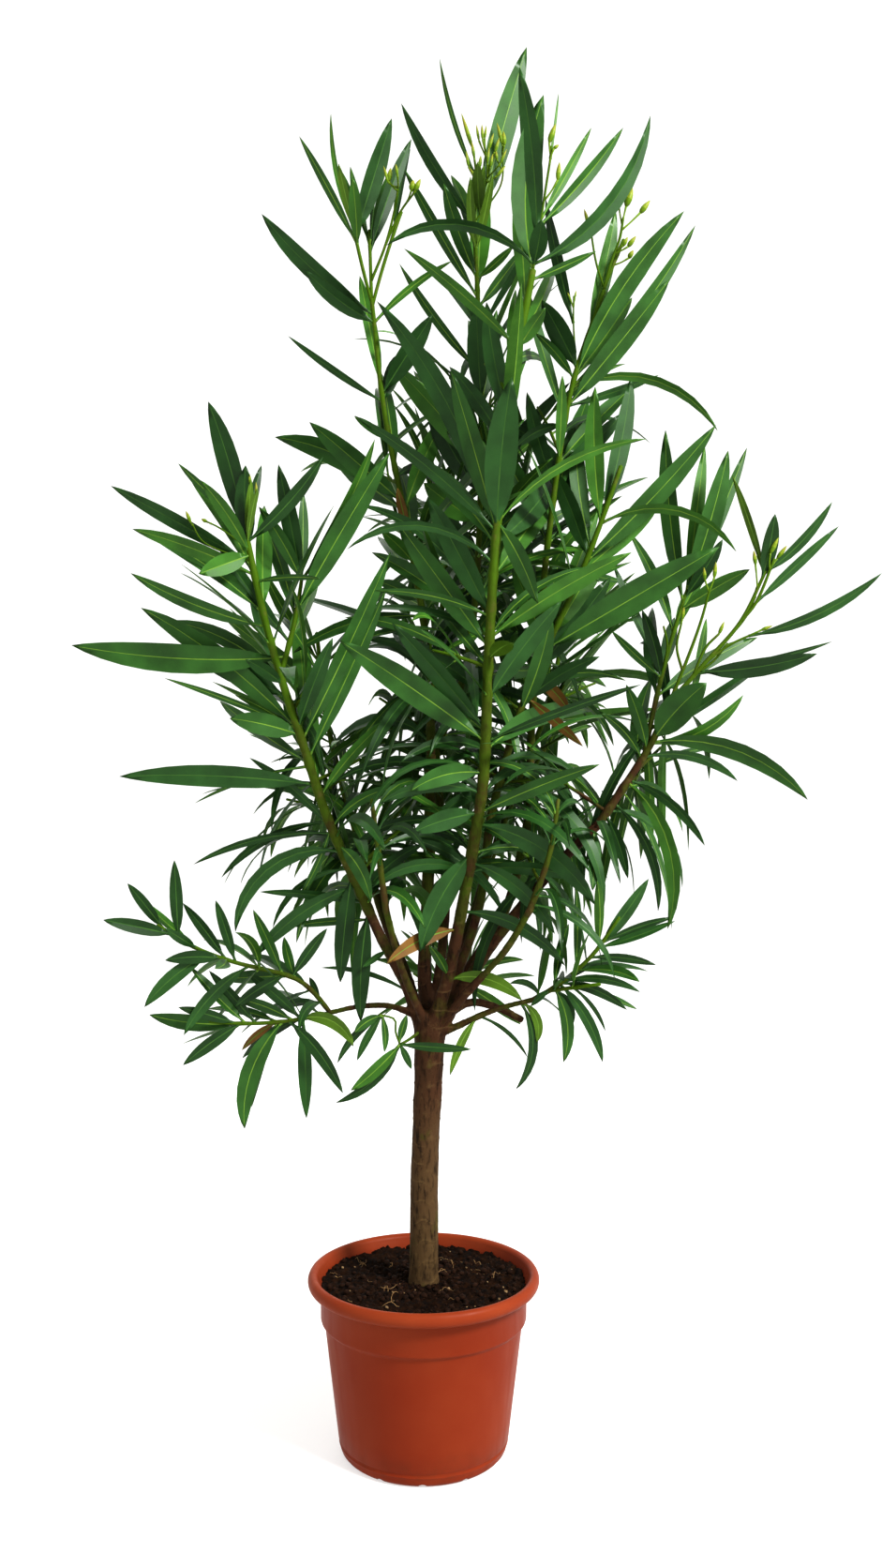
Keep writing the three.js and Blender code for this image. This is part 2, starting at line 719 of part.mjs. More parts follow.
// Three leaves at each node of a shoot, each whorl turned half a step from the one below
function whorlLeaves(stem, habit, dice) {
  const leaves = [];
  const count = Math.max(1, Math.round((stem.length * (1 - habit.from)) / habit.step));
  const phase = dice.throw() * FULL_TURN;
  for (let i = 0; i <= count; i += 1) {
    const at = habit.from + (1 - habit.from) * (i / count) ** CROWDING;
    const along = stem.direction(at);
    const level = new THREE.Vector3(along.y, -along.x, 0);
    if (level.length() < 0.05) level.set(1, 0, 0);
    level.normalize();
    const beside = along.clone().cross(level);
    const weeping = at < habit.weep;
    for (let k = 0; k < WHORL; k += 1) {
      const turn = radians(phase + i * 60 + (k * FULL_TURN) / WHORL + dice.about(JITTER.turn));
      const spread = radians(blend(habit.spread, at) + dice.about(JITTER.spread));
      const bow = blend(habit.bow, at) + dice.about(JITTER.bow);
      const scale = 1 + dice.about(JITTER.length);
      const roll = dice.about(JITTER.roll);
      const outward = level.clone().multiplyScalar(Math.cos(turn)).addScaledVector(beside, Math.sin(turn));
      const away = along.clone().multiplyScalar(Math.cos(spread)).addScaledVector(outward, Math.sin(spread));
      const length = blend(habit.length, at) * scale * (weeping ? WEEPING.shorter : 1);
      leaves.push({
        root: rootPoint(stem, at, outward),
        bearing: degrees(Math.atan2(away.y, away.x)),
        rise: degrees(Math.asin(away.z)) + (weeping ? WEEPING.rise : 0),
        length,
        width: leafWidth(length, habit.wide * (weeping ? WEEPING.narrower : 1)),
        bow: weeping ? Math.max(bow, WEEPING.bow + bow / 4) : bow,
        roll,
      });
    }
  }
  return leaves;
}

function leadingLeaves(stem, list) {
  return list.map((leaf) => ({
    ...leaf,
    root: rootPoint(stem, leaf.at, new Arc(stem.point(0), leaf).direction(0)),
    width: leafWidth(leaf.length, leaf.wide ?? 0.135),
  }));
}

// An open head of flower buds on the end of a shoot
function flowerHead(stem, bench, dice) {
  const heading = stem.direction(1);
  const bearing = degrees(Math.atan2(heading.y, heading.x));
  const rise = degrees(Math.asin(heading.z));
  const arc = new Arc(stem.point(1), { bearing, rise, length: bench, bow: 0 });
  const stalk = new Stem(arcPoints(arc, 1), 1.3, 1.1);
  const buds = Array.from({ length: BUDS }, (_, i) => ({
    root: stalk.point(0.25 + (0.75 * i) / (BUDS - 1)),
    bearing: bearing + i * 137.5 + dice.about(15),
    rise: 48 + i * 9,
    length: bench * (1 - 0.12 * i),
    bow: -12,
  }));
  return { stalk, buds };
}

// Everything that one mass holds, before anything is tested for clearance
function growMass(plan) {
  const dice = new Dice(plan.seed);
  const bough = BOUGHS[plan.bough];
  const start = bough.route[bough.route.length - 1];
  const points = smoothPoints([start, ...plan.route]);
  const onward = points[1].clone().sub(points[0]).normalize();
  points[0].addScaledVector(onward, GAP * 2);
  const main = new Stem(points, Math.min(plan.foot, bough.tip), plan.tip);
  const grown = { stems: [main], leading: leadingLeaves(main, plan.leading), leaves: [], buds: [] };
  grown.leaves.push(...whorlLeaves(main, HABITS[plan.habit], dice));
  const heads = plan.bench ? [[main, plan.bench]] : [];
  for (const shoot of plan.shoots) {
    const arc = new Arc(main.point(shoot.at), shoot);
    const radius = main.radius(shoot.at) * 0.8;
    const stem = new Stem(arcPoints(arc, 3), radius, Math.min(1.5, radius));
    grown.stems.push(stem);
    grown.leading.push(...leadingLeaves(stem, shoot.leading ?? []));
    grown.leaves.push(...whorlLeaves(stem, HABITS[shoot.habit], dice));
    if (shoot.bench) heads.push([stem, shoot.bench]);
  }
  for (const [stem, bench] of heads) {
    const head = flowerHead(stem, bench, dice);
    grown.stems.push(head.stalk);
    grown.buds.push(...head.buds);
  }
  return grown;
}

// The space already taken. Each solid is kept under its owner's name, and blades can be asked for alone.
class Space {
  constructor() {
    this.taken = [];
  }

  add(owner, solid, part = 'whole') {
    const box = solid.boundingBox();
    this.taken.push({ owner, solid, blade: part === 'blade', stem: part === 'stem', box });
  }

  isFree(probe, blocks) {
    const { min, max } = probe.boundingBox();
    return !this.taken.some((other) => {
      if (!blocks(other)) return false;
      for (let k = 0; k < 3; k += 1) {
        if (min[k] > other.box.max[k] || max[k] < other.box.min[k]) return false;
      }
      const shared = probe.intersect(other.solid);
      const touches = !shared.isEmpty();
      shared.delete();
      return touches;
    });
  }
}

// Places a leaf on the first bearing near its own where its whole length is clear of other masses and
// of the limbs, and its blade is clear of its own mass's blades; or leaves it out
function placeLeaf(space, owner, leaf) {
  for (const nudge of NUDGES) {
    const turned = { ...leaf, bearing: leaf.bearing + nudge };
    const whole = leafSolid(turned, PROBE_MARGIN);
    const blade = leafSolid(turned, PROBE_MARGIN, true);
    const free = space.isFree(whole, (other) => (other.owner !== owner) !== other.blade)
      && space.isFree(blade, (other) => other.owner === owner && (other.blade || other.stem));
    whole.delete();
    blade.delete();
    if (free) {
      const solid = leafSolid(turned);
      space.add(owner, solid);
      space.add(owner, leafSolid(turned, 0, true), 'blade');
      return solid;
    }
  }
  return null;
}

function placeBud(space, owner, bud) {
  const solids = budSolids(bud);
  if (!solids.every((solid) => space.isFree(solid, (other) => other.owner !== owner))) return [];
  solids.forEach((solid) => space.add(owner, solid));
  return solids;
}

// The largest of a solid's separate bodies, with its sealed hollows filled
function largestBody(solid) {
  const bodies = solid.decompose();
  return bodies.reduce((best, body) => (body.volume() > best.volume() ? body : best));
}

// The same body with points under a micron apart made one, and what that pinches off dropped
function settled(solid) {
  const body = largestBody(solid);
  const geometry = geometryOf(body);
  geometry.deleteAttribute('normal');
  return largestBody(solidOf(mergeVertices(geometry, MERGED)));
}

const MATERIALS = {
  pot: new THREE.MeshStandardMaterial({ color: 0xb4492e, roughness: 0.42, metalness: 0 }),
  soil: new THREE.MeshStandardMaterial({ color: 0x2a1c14, roughness: 0.95, metalness: 0 }),
  trunkBark: new THREE.MeshStandardMaterial({ color: 0x5d4a37, roughness: 0.85, metalness: 0 }),
  boughBark: new THREE.MeshStandardMaterial({ color: 0x654530, roughness: 0.8, metalness: 0 }),
  foliage: new THREE.MeshStandardMaterial({ color: 0x2f6a33, roughness: 0.45, metalness: 0 }),
};

function named(name, solid, material) {
  const mesh = new THREE.Mesh(geometryOf(solid), material);
  mesh.name = name;
  return mesh;
}

// A body turned about the Z axis from a profile of [radius, height] that starts and ends on the axis
function turned(profile) {
  const points = profile.map(([radius, height]) => new THREE.Vector2(radius, height));
  const lathe = new THREE.LatheGeometry(points, ROUND_SEGMENTS).rotateX(Math.PI / 2);
  lathe.deleteAttribute('normal');
  lathe.deleteAttribute('uv');
  const merged = mergeVertices(lathe, MERGED);
  const faces = [];
  for (let i = 0; i < merged.index.count; i += 3) {
    const [a, b, c] = merged.index.array.slice(i, i + 3);
    if (a !== b && b !== c && c !== a) faces.push(a, b, c);
  }
  return solidFrom(merged.getAttribute('position').array, new Uint32Array(faces));
}

// Points on a quarter or half round in a profile, from one angle to another
function profileArc(centre, radii, from, to, steps) {
  return Array.from({ length: steps + 1 }, (_, i) => {
    const angle = radians(from + ((to - from) * i) / steps);
    return [centre[0] + radii[0] * Math.cos(angle), centre[1] + radii[1] * Math.sin(angle)];
  });
}

// Outer radius of the pot's wall under the band, and inner radius of the band
const wallRadius = (z) => blend([BASE_RADIUS, BAND_RADIUS - STEP_IN], z / BAND_FOOT);
const BAND_INSIDE = BAND_RADIUS - POT_WALL;

function potSolid() {
  const lipFoot = POT_HEIGHT - LIP_HEIGHT;
  const lipMiddle = [RIM_RADIUS - LIP_WIDTH / 2, POT_HEIGHT - LIP_HEIGHT / 2];
  const groove = [[0, -1.4], [GROOVE_DEPTH, 0], [0, 1.4]];
  const body = turned([
    [0, 0],
    ...profileArc([BASE_RADIUS - BASE_ROUND, BASE_ROUND], [BASE_ROUND, BASE_ROUND], -90, 0, 2),
    ...groove.map(([inward, up]) => [wallRadius(GROOVE_HEIGHT + up) - inward, GROOVE_HEIGHT + up]),
    [wallRadius(BAND_FOOT - 4), BAND_FOOT - 4],
    [BAND_RADIUS - 0.6, BAND_FOOT],
    [BAND_RADIUS, lipFoot],
    ...profileArc(lipMiddle, [LIP_WIDTH / 2, LIP_HEIGHT / 2], -90, 180, 5),
    [BAND_INSIDE, lipFoot],
    [BAND_INSIDE - 0.6, BAND_FOOT + 4],
    [wallRadius(BAND_FOOT) - POT_WALL, BAND_FOOT - 6],
    [wallRadius(POT_FLOOR + 6) - POT_WALL, POT_FLOOR + 6],
    [wallRadius(POT_FLOOR) - POT_WALL - 6, POT_FLOOR],
    [0, POT_FLOOR],
  ]);
  let notched = body;
  for (let k = 0; k < NOTCHES; k += 1) {
    const block = new THREE.BoxGeometry(30, NOTCH_WIDTH, NOTCH_HEIGHT * 2);
    block.translate(BASE_RADIUS, 0, 0);
    block.rotateZ(radians((FULL_TURN * k) / NOTCHES));
    block.deleteAttribute('normal');
    block.deleteAttribute('uv');
    notched = notched.subtract(solidOf(mergeVertices(block)));
  }
  return notched;
}

function soilSolid() {
  const edge = (z) => wallRadius(z) - POT_WALL - GAP;
  const low = POT_FLOOR + GAP;
  return turned([
    [0, low],
    [edge(low) - 6.6, low],
    [edge(POT_FLOOR + 6), POT_FLOOR + 6.6],
    [edge(BAND_FOOT - 6) - 0.3, BAND_FOOT - 6],
    [BAND_INSIDE - 0.7 - GAP, BAND_FOOT + 4],
    [BAND_INSIDE - 0.3 - GAP, SOIL_TOP - SOIL_EDGE_DROP],
    [BAND_INSIDE * 0.8, SOIL_TOP - 1],
    [TRUNK_RINGS[0].radius + 8, SOIL_TOP],
    [0, SOIL_TOP],
  ]);
}

function trunkStem() {
  const stem = new Stem(TRUNK_RINGS.map(({ x, z }) => new THREE.Vector3(x, 0, z)), 1, 1);
  stem.radius = (share) => {
    const ring = TRUNK_RINGS.findIndex((_, i) => stem.marks[i] / stem.length >= share - 1e-9);
    return TRUNK_RINGS[ring].radius;
  };
  return stem;
}

// The trunk and the boughs. Each bough is cut 0.3 mm clear of the trunk and of the boughs before it.
function growLimbs(space) {
  const limbs = [];
  const fattened = [];
  const trunk = trunkStem();
  limbs.push(['trunk', tube(trunk, TRUNK_SIDES), MATERIALS.trunkBark]);
  fattened.push(tube(trunk, TRUNK_SIDES, GAP));
  for (const [name, plan] of Object.entries(BOUGHS)) {
    const stem = new Stem(smoothPoints(plan.route), plan.foot, plan.tip);
    const whole = tube(stem, BOUGH_SIDES);
    limbs.push([name, largestBody(whole.subtract(wasm.Manifold.union(fattened))), MATERIALS.boughBark]);
    fattened.push(tube(stem, BOUGH_SIDES, GAP));
  }
  for (const [name, solid] of limbs) space.add(name, solid);
  return { limbs, fattened };
}

// Stems first, so that no leaf crosses one; then the leading leaves, which make the outline; then the
// rest, mass by mass
function growFoliage(space, fattened) {
  const masses = Object.entries(MASSES).map(([name, plan]) => ({ name, solids: [], grown: growMass(plan) }));
  const sprigPoints = SPRIG.route.map((corner) => new THREE.Vector3(...corner));
  const sprigStem = new Stem(sprigPoints, SPRIG.foot, SPRIG.tip);
  masses.push({
    name: 'hanging_sprig',
    solids: [],
    grown: { stems: [sprigStem], leading: leadingLeaves(sprigStem, SPRIG.leaves), leaves: [], buds: [] },
  });
  for (const mass of masses) {
    for (const [i, stem] of mass.grown.stems.entries()) {
      const solid = tube(stem, i === 0 ? 4 : 3);
      space.add(mass.name, solid, 'stem');
      mass.solids.push(solid);
    }
  }
  for (const kind of ['leading', 'leaves']) {
    for (const mass of masses) {
      mass.grown[kind].forEach((leaf) => {
        const solid = placeLeaf(space, mass.name, leaf);
        if (solid) mass.solids.push(solid);
      });
    }
  }
  for (const mass of masses) {
    mass.grown.buds.forEach((bud) => mass.solids.push(...placeBud(space, mass.name, bud)));
  }
  const limbSpace = wasm.Manifold.union(fattened);
  return masses.map(({ name, solids }) => {
    const whole = wasm.Manifold.union(solids).subtract(limbSpace);
    return [name, settled(whole.simplify(SIMPLEST)), MATERIALS.foliage];
  });
}

const space = new Space();
const { limbs, fattened } = growLimbs(space);
const masses = growFoliage(space, fattened);

const pottedOleander = new THREE.Group();
const pot = new THREE.Group();
pot.add(named('pot', potSolid(), MATERIALS.pot), named('soil', soilSolid(), MATERIALS.soil));
const wood = new THREE.Group();
wood.add(...limbs.map(([name, solid, material]) => named(name, solid, material)));
const crown = new THREE.Group();
crown.add(...masses.map(([name, solid, material]) => named(name, solid, material)));
pottedOleander.add(pot, wood, crown);

export default pottedOleander;
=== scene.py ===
"""A potted oleander: bark, leaves, flower buds, soil and pot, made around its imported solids.

Lengths are in millimetres and angles in degrees unless a comment says otherwise; every mesh is in metres. A
bearing of 0 points along +X, to the viewer's right, and 90 along +Y, away from the viewer.
"""

import logging
import math
from dataclasses import dataclass, field
from enum import Enum

import bmesh
import bpy
import numpy as np
from mathutils import Matrix, Vector, noise
from mathutils.bvhtree import BVHTree
from mathutils.kdtree import KDTree


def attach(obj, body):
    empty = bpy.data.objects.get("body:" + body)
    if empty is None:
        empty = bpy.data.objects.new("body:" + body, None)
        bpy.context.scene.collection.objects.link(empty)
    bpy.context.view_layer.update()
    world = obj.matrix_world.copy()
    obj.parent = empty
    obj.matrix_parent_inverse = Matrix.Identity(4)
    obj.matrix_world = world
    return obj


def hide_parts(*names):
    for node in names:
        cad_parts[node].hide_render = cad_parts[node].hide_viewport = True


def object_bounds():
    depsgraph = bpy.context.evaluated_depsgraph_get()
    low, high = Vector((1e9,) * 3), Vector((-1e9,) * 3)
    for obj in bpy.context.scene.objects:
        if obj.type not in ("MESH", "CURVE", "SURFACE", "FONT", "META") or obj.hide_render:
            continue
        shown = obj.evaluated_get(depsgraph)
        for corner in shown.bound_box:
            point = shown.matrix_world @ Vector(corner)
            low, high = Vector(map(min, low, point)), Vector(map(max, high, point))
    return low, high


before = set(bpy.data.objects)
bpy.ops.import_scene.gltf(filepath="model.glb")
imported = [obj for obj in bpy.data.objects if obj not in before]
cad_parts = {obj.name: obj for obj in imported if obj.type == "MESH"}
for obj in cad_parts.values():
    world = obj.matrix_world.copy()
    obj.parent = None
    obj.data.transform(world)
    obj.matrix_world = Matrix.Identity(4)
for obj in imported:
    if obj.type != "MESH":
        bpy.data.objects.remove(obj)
cad_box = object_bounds()

log = logging.getLogger("potted_oleander")
logging.basicConfig(level=logging.INFO, format="%(name)s: %(message)s")

MM = 0.001
FULL_TURN = 360.0
BODY = "root"
UP = Vector((0.0, 0.0, 1.0))

Pair = tuple[float, float]
Triple = tuple[float, float, float]
Piece = bpy.types.Object
Mesh = bpy.types.Mesh
Material = bpy.types.Material
Socket = bpy.types.NodeSocket


# Growth, as in the part's source


class Growth(Enum):
    """The ways in which a shoot carries its leaves."""

    LEADER = "leader"
    LUSH = "lush"
    TALL = "tall"
    FULL = "full"
    THICKET = "thicket"
    LOW = "low"
    SIDE = "side"
    STALK = "stalk"
    TWIG = "twig"


class Tone(Enum):
    """The leaf colours, in the order of the leaf piece's material slots."""

    DEEP = 0
    DARK = 1
    MID = 2
    BRIGHT = 3
    YOUNG = 4
    WITHERED = 5


@dataclass(frozen=True)
class Habit:
    """How whorls of leaves stand on a shoot; each pair is the value at its foot and at its tip.

    Attributes:
        step: distance between whorls.
        start: share of the shoot that is bare.
        spread: angle between leaf and stem.
        bow: how far a leaf droops from root to tip.
        length: leaf length.
        wide: leaf width over its length.
        weep: share of the shoot on which old leaves are narrow and hang.
    """

    step: float
    start: float
    spread: Pair
    bow: Pair
    length: Pair
    wide: float
    weep: float


@dataclass(frozen=True)
class Seen:
    """A leaf that shows clearly in the picture, by where it shows.

    Attributes:
        root: the picture's place of its root, across and down, in a picture of 941 by 1672.
        tip: the picture's place of its tip.
        bow: how far it droops from root to tip.
        lean: how much farther from the viewer its tip is than its root.
        turn: how far its blade is turned from facing the viewer.
        tone: its colour, or None for any.
    """

    root: Pair
    tip: Pair
    wide: float
    bow: float
    lean: float = 0.0
    turn: float = 22.0
    tone: Tone | None = None


@dataclass(frozen=True)
class Stalk:
    """A thin stem that shows in the picture.

    Attributes:
        route: the picture's places of its corners; it grows from the stem nearest to the first.
        lean: how much farther from the viewer its end is than its start.
    """

    route: tuple[Pair, ...]
    foot: float
    tip: float
    lean: float = 0.0


@dataclass(frozen=True)
class Head:
    """A flower bud that shows in the picture.

    Attributes:
        joint: the picture's place at which its stalk leaves the nearest stem.
        base: the picture's place of the bud's foot.
        tip: the picture's place of its point.
        thick: its greatest radius.
        lean: how much farther from the viewer it is than its joint.
    """

    joint: Pair
    base: Pair
    tip: Pair
    thick: float
    lean: float = 0.0


@dataclass(frozen=True)
class Shoot:
    """A side shoot: its share of the way up its mass's main stem, then its line as an Arc's, and its growth."""

    at: float
    bearing: float
    rise: float
    length: float
    bow: float
    growth: Growth


@dataclass(frozen=True)
class Limb:
    """A tapering limb, by its corners and its radius at both ends."""

    route: tuple[Triple, ...]
    foot: float
    tip: float


@dataclass(frozen=True)
class Mass:
    """A mass of foliage: a main stem that grows on from its bough's tip, and its side shoots."""

    bough: str
    route: tuple[Triple, ...]
    foot: float
    tip: float
    growth: Growth
    shoots: tuple[Shoot, ...] = ()


LEADER, LUSH, TALL, FULL, THICKET, LOW, SIDE, STALK, TWIG = Growth
LIMBS = {
    "middle_bough": Limb(((4, 8, 366), (0, 16, 403), (1, 22, 435), (4, 28, 513), (6, 28, 600)), 6, 4.6),
    "front_bough": Limb(((8, -7, 366), (21, -16, 408), (30, -26, 453), (38, -34, 497)), 5.8, 4.8),
    "left_bough": Limb(((-2, 0, 366), (-17, -5, 404), (-36, -10, 440), (-48, -14, 467)), 5.6, 4.6),
    "right_bough": Limb(((15, 0, 364), (39, -2, 404), (67, -4, 445), (111, -10, 499), (151, -15, 540)), 5.8, 4.2),
    "inner_bough": Limb(((12, 8, 366), (35, 22, 402), (61, 34, 440), (78, 36, 475), (93, 30, 542)), 5.6, 4.2),
    "centre_bough": Limb(((9, 9, 370), (15, 26, 418), (19, 38, 475), (15, 44, 542), (10, 44, 603)), 4.8, 4),
    "centre_right_bough": Limb(((12, 1, 370), (31, 4, 413), (49, 6, 470), (57, 6, 535), (64, 4, 568)), 4.6, 3.8),
    "back_left_bough": Limb(((-3, 8, 366), (-16, 40, 402), (-35, 72, 443), (-50, 92, 484)), 5, 4),
    "back_right_bough": Limb(((10, 9, 366), (24, 46, 404), (44, 80, 450), (60, 104, 497)), 5, 4),
    "back_bough": Limb(((5, 10, 366), (2, 48, 400), (4, 74, 470), (8, 80, 560)), 4.6, 3.8),
    "inner_left_bough": Limb(((2, -7, 367), (-12, -28, 400), (-22, -50, 435), (-30, -66, 470)), 3.6, 2.8),
    "inner_right_bough": Limb(((15, -7, 367), (40, -30, 400), (68, -52, 435), (88, -64, 470)), 3.6, 2.8),
    "low_left_bough": Limb(((-4, -3, 372), (-28, -9, 382), (-54, -16, 383), (-79, -24, 379)), 2.8, 2.3),
    "low_right_bough": Limb(((13, -4, 357), (28, -7, 364), (61, -10, 379), (94, -12, 388)), 3, 2.4),
    "low_back_bough": Limb(((5, 8, 356), (11, 40, 364), (22, 80, 369), (32, 112, 371)), 2.8, 2.3),
    "pruned_stub": Limb(((14, 4, 368), (39, 10, 382), (62, 11, 378), (87, 12, 366)), 3.8, 3.2),
}
MASSES = {
    "left_crown": Mass(
        "left_bough",
        ((-81, -27, 544), (-100, -34, 603), (-119, -42, 663), (-133, -48, 716), (-145, -53, 773)),
        4.5, 2.6, LUSH,
        shoots=(Shoot(0.66, 35, 70, 85, -12, SIDE),),
    ),
    "front_crown": Mass(
        "front_bough",
        ((50, -50, 576), (54, -62, 676), (60, -68, 774), (73, -62, 897), (91, -52, 998)),
        4.8, 2.8, LEADER,
    ),
    "right_crown": Mass(
        "right_bough",
        ((191, -20, 602), (209, -28, 643)),
        3.8, 2.4, LUSH,
        shoots=(Shoot(0.6, 25, 78, 150, 10, SIDE),),
    ),
    "left_tall": Mass(
        "middle_bough",
        ((4, 26, 684), (-13, 16, 790), (-34, 6, 895), (-45, -4, 992)),
        3.8, 1.8, TALL,
        shoots=(
            Shoot(0.99, 205, 72, 72, -6, STALK),
            Shoot(1, 110, 84, 62, 0, STALK),
            Shoot(0.985, 15, 76, 88, 6, STALK),
        ),
    ),
    "centre_tall": Mass(
        "centre_bough",
        ((36, 42, 673), (48, 44, 770), (51, 42, 921), (44, 36, 1092)),
        3.4, 1.8, TALL,
    ),
    "right_tall": Mass(
        "inner_bough",
        ((96, 26, 636), (102, 10, 715), (108, -10, 790), (125, -24, 905), (153, -28, 990)),
        3.6, 1.8, TALL,
        shoots=(Shoot(0.94, 15, 72, 78, 6, STALK),),
    ),
    "right_mid": Mass(
        "centre_right_bough",
        ((84, 0, 637), (106, -8, 690), (139, -22, 764), (167, -30, 841)),
        3.4, 1.9, TALL,
    ),
    "inner_left": Mass(
        "inner_left_bough",
        ((-36, -66, 516), (-42, -58, 560)),
        2.6, 1.6, THICKET,
    ),
    "inner_right": Mass(
        "inner_right_bough",
        ((104, -64, 516), (112, -54, 560)),
        2.6, 1.6, THICKET,
    ),
    "back_left": Mass(
        "back_left_bough",
        ((-76, 118, 559), (-96, 134, 639), (-106, 142, 720)),
        3.4, 1.9, FULL,
        shoots=(Shoot(0.3, 165, 48, 90, -16, SIDE),),
    ),
    "back_right": Mass(
        "back_right_bough",
        ((88, 130, 570), (120, 152, 650), (138, 160, 735)),
        3.4, 1.9, FULL,
        shoots=(Shoot(0.3, 25, 48, 100, -16, SIDE),),
    ),
    "back_centre": Mass(
        "back_bough",
        ((12, 104, 690), (20, 126, 783), (28, 136, 890)),
        3.4, 1.8, FULL,
    ),
    "low_left_spray": Mass(
        "low_left_bough",
        ((-96, -28, 400), (-115, -32, 412), (-158, -40, 424), (-192, -46, 438), (-220, -50, 456)),
        2.1, 1.4, LOW,
        shoots=(Shoot(0.02, 188, -14, 104, -22, LOW),),
    ),
    "low_right_spray": Mass(
        "low_right_bough",
        ((119, -17, 404), (145, -22, 429), (166, -26, 460)),
        2.2, 1.4, LOW,
        shoots=(Shoot(0.2, 340, 10, 45, 0, LOW),),
    ),
    "low_back_spray": Mass(
        "low_back_bough",
        ((38, 150, 376), (43, 190, 388), (46, 222, 408)),
        2.1, 1.4, LOW,
        shoots=(Shoot(0.05, 130, 5, 70, -14, LOW),),
    ),
}
SPRIG = Limb(((-3, -8, 360), (-13, -15, 354), (-20, -19, 351)), 1.5, 1.1)
HABITS = {
    LEADER: Habit(24, 0.03, (72, 24), (26, 4), (160, 125), 0.14, 0.2),
    LUSH: Habit(23, 0.03, (76, 24), (20, 6), (150, 105), 0.14, 0.34),
    TALL: Habit(30, 0.04, (66, 22), (18, 4), (150, 118), 0.145, 0.12),
    FULL: Habit(22, 0.04, (78, 26), (24, 6), (155, 115), 0.145, 0.35),
    THICKET: Habit(11, 0.05, (80, 30), (80, 60), (140, 115), 0.12, 1),
    LOW: Habit(24, 0.1, (70, 28), (30, 4), (85, 62), 0.16, 0.1),
    SIDE: Habit(36, 0.35, (55, 22), (10, 4), (118, 95), 0.15, 0),
    STALK: Habit(60, 0.8, (30, 16), (4, 0), (100, 85), 0.14, 0),
    TWIG: Habit(17, 0.2, (75, 30), (75, 35), (150, 100), 0.095, 0),
}
# Where the crown's outline runs in the picture, and the middles and half-sizes of the gaps of light in it
OUTLINE = (
    (556, 62), (584, 105), (600, 190), (640, 196), (662, 226), (706, 250), (704, 325), (684, 388), (716, 408),
    (738, 468), (790, 500), (798, 562), (846, 566), (866, 596), (852, 650), (800, 688), (834, 702), (790, 738),
    (758, 782), (800, 808), (770, 828), (736, 846), (744, 890), (724, 984), (694, 1020), (684, 1062), (640, 1112),
    (600, 1122), (574, 1136), (530, 1110), (476, 1104), (438, 1104), (400, 1092), (352, 1128), (312, 1166), (266, 1176),
    (250, 1120), (188, 1122), (176, 1066), (198, 1040), (158, 1002), (150, 958), (202, 968), (242, 1000), (250, 960),
    (238, 922), (260, 888), (282, 852), (198, 838), (190, 806), (292, 800), (246, 772), (200, 712), (132, 696),
    (146, 672), (196, 680), (176, 640), (166, 602), (158, 566), (192, 540), (202, 502), (230, 482), (242, 446),
    (274, 482), (304, 498), (344, 488), (330, 450), (388, 466), (400, 442), (338, 390), (396, 420), (394, 352),
    (330, 304), (322, 262), (366, 300), (362, 250), (350, 172), (372, 156), (402, 156), (440, 166), (458, 240),
    (486, 206), (468, 160), (500, 116), (540, 90),
)
GAPS = (
    (345, 235, 30, 35), (345, 405, 40, 22), (374, 390, 22, 44), (448, 212, 16, 38), (480, 140, 10, 32),
    (425, 332, 12, 26), (478, 345, 15, 38), (450, 250, 18, 10), (538, 228, 9, 46), (612, 140, 12, 40),
    (622, 218, 22, 28), (692, 240, 22, 30), (612, 290, 9, 40), (592, 380, 8, 24), (562, 424, 10, 34),
    (390, 448, 14, 8), (375, 600, 30, 50), (360, 528, 30, 20), (345, 668, 12, 25), (404, 716, 28, 22),
    (372, 756, 22, 22), (348, 738, 11, 30), (300, 952, 26, 16), (400, 1004, 8, 34), (315, 1012, 26, 18),
    (230, 962, 14, 30), (296, 1132, 12, 28), (350, 1062, 14, 9), (612, 640, 22, 10), (668, 690, 14, 28),
    (658, 738, 20, 18), (696, 500, 10, 32), (738, 522, 8, 26), (770, 555, 7, 28), (790, 780, 24, 16),
    (690, 940, 8, 34), (652, 962, 9, 26), (612, 800, 22, 14), (742, 660, 8, 26), (572, 780, 12, 10),
    (622, 1092, 9, 24), (580, 1112, 9, 26), (534, 1112, 14, 22), (700, 1004, 18, 12), (520, 1110, 10, 26),
    (276, 800, 26, 8), (405, 300, 8, 24), (425, 400, 9, 20), (778, 668, 16, 12), (640, 830, 16, 14),
    (300, 700, 6, 10), (736, 690, 8, 14), (650, 470, 8, 20), (700, 430, 20, 14),
)
DEEP, DARK, MID, BRIGHT, YOUNG, WITHERED = Tone


def heads(*rows: tuple) -> tuple[Head, ...]:
    """Returns the flower buds of some rows.

    Args:
        rows: each bud's joint, base and tip, across and down, its radius, and its lean where it has one.

    Returns:
        The buds.
    """
    return tuple(Head(row[:2], row[2:4], row[4:6], *row[6:]) for row in rows)


def leaves(*rows: tuple) -> tuple[Seen, ...]:
    """Returns the leaves of some rows.

    Args:
        rows: each leaf's root and tip, across and down, its width and bow, then its lean, its turn and its tone
            where they aren't the usual ones.

    Returns:
        The leaves.
    """
    found = []
    for row in rows:
        tone = row[-1] if isinstance(row[-1], Tone) else None
        found.append(Seen(row[:2], row[2:4], *(value for value in row[4:] if value is not tone), tone=tone))
    return tuple(found)


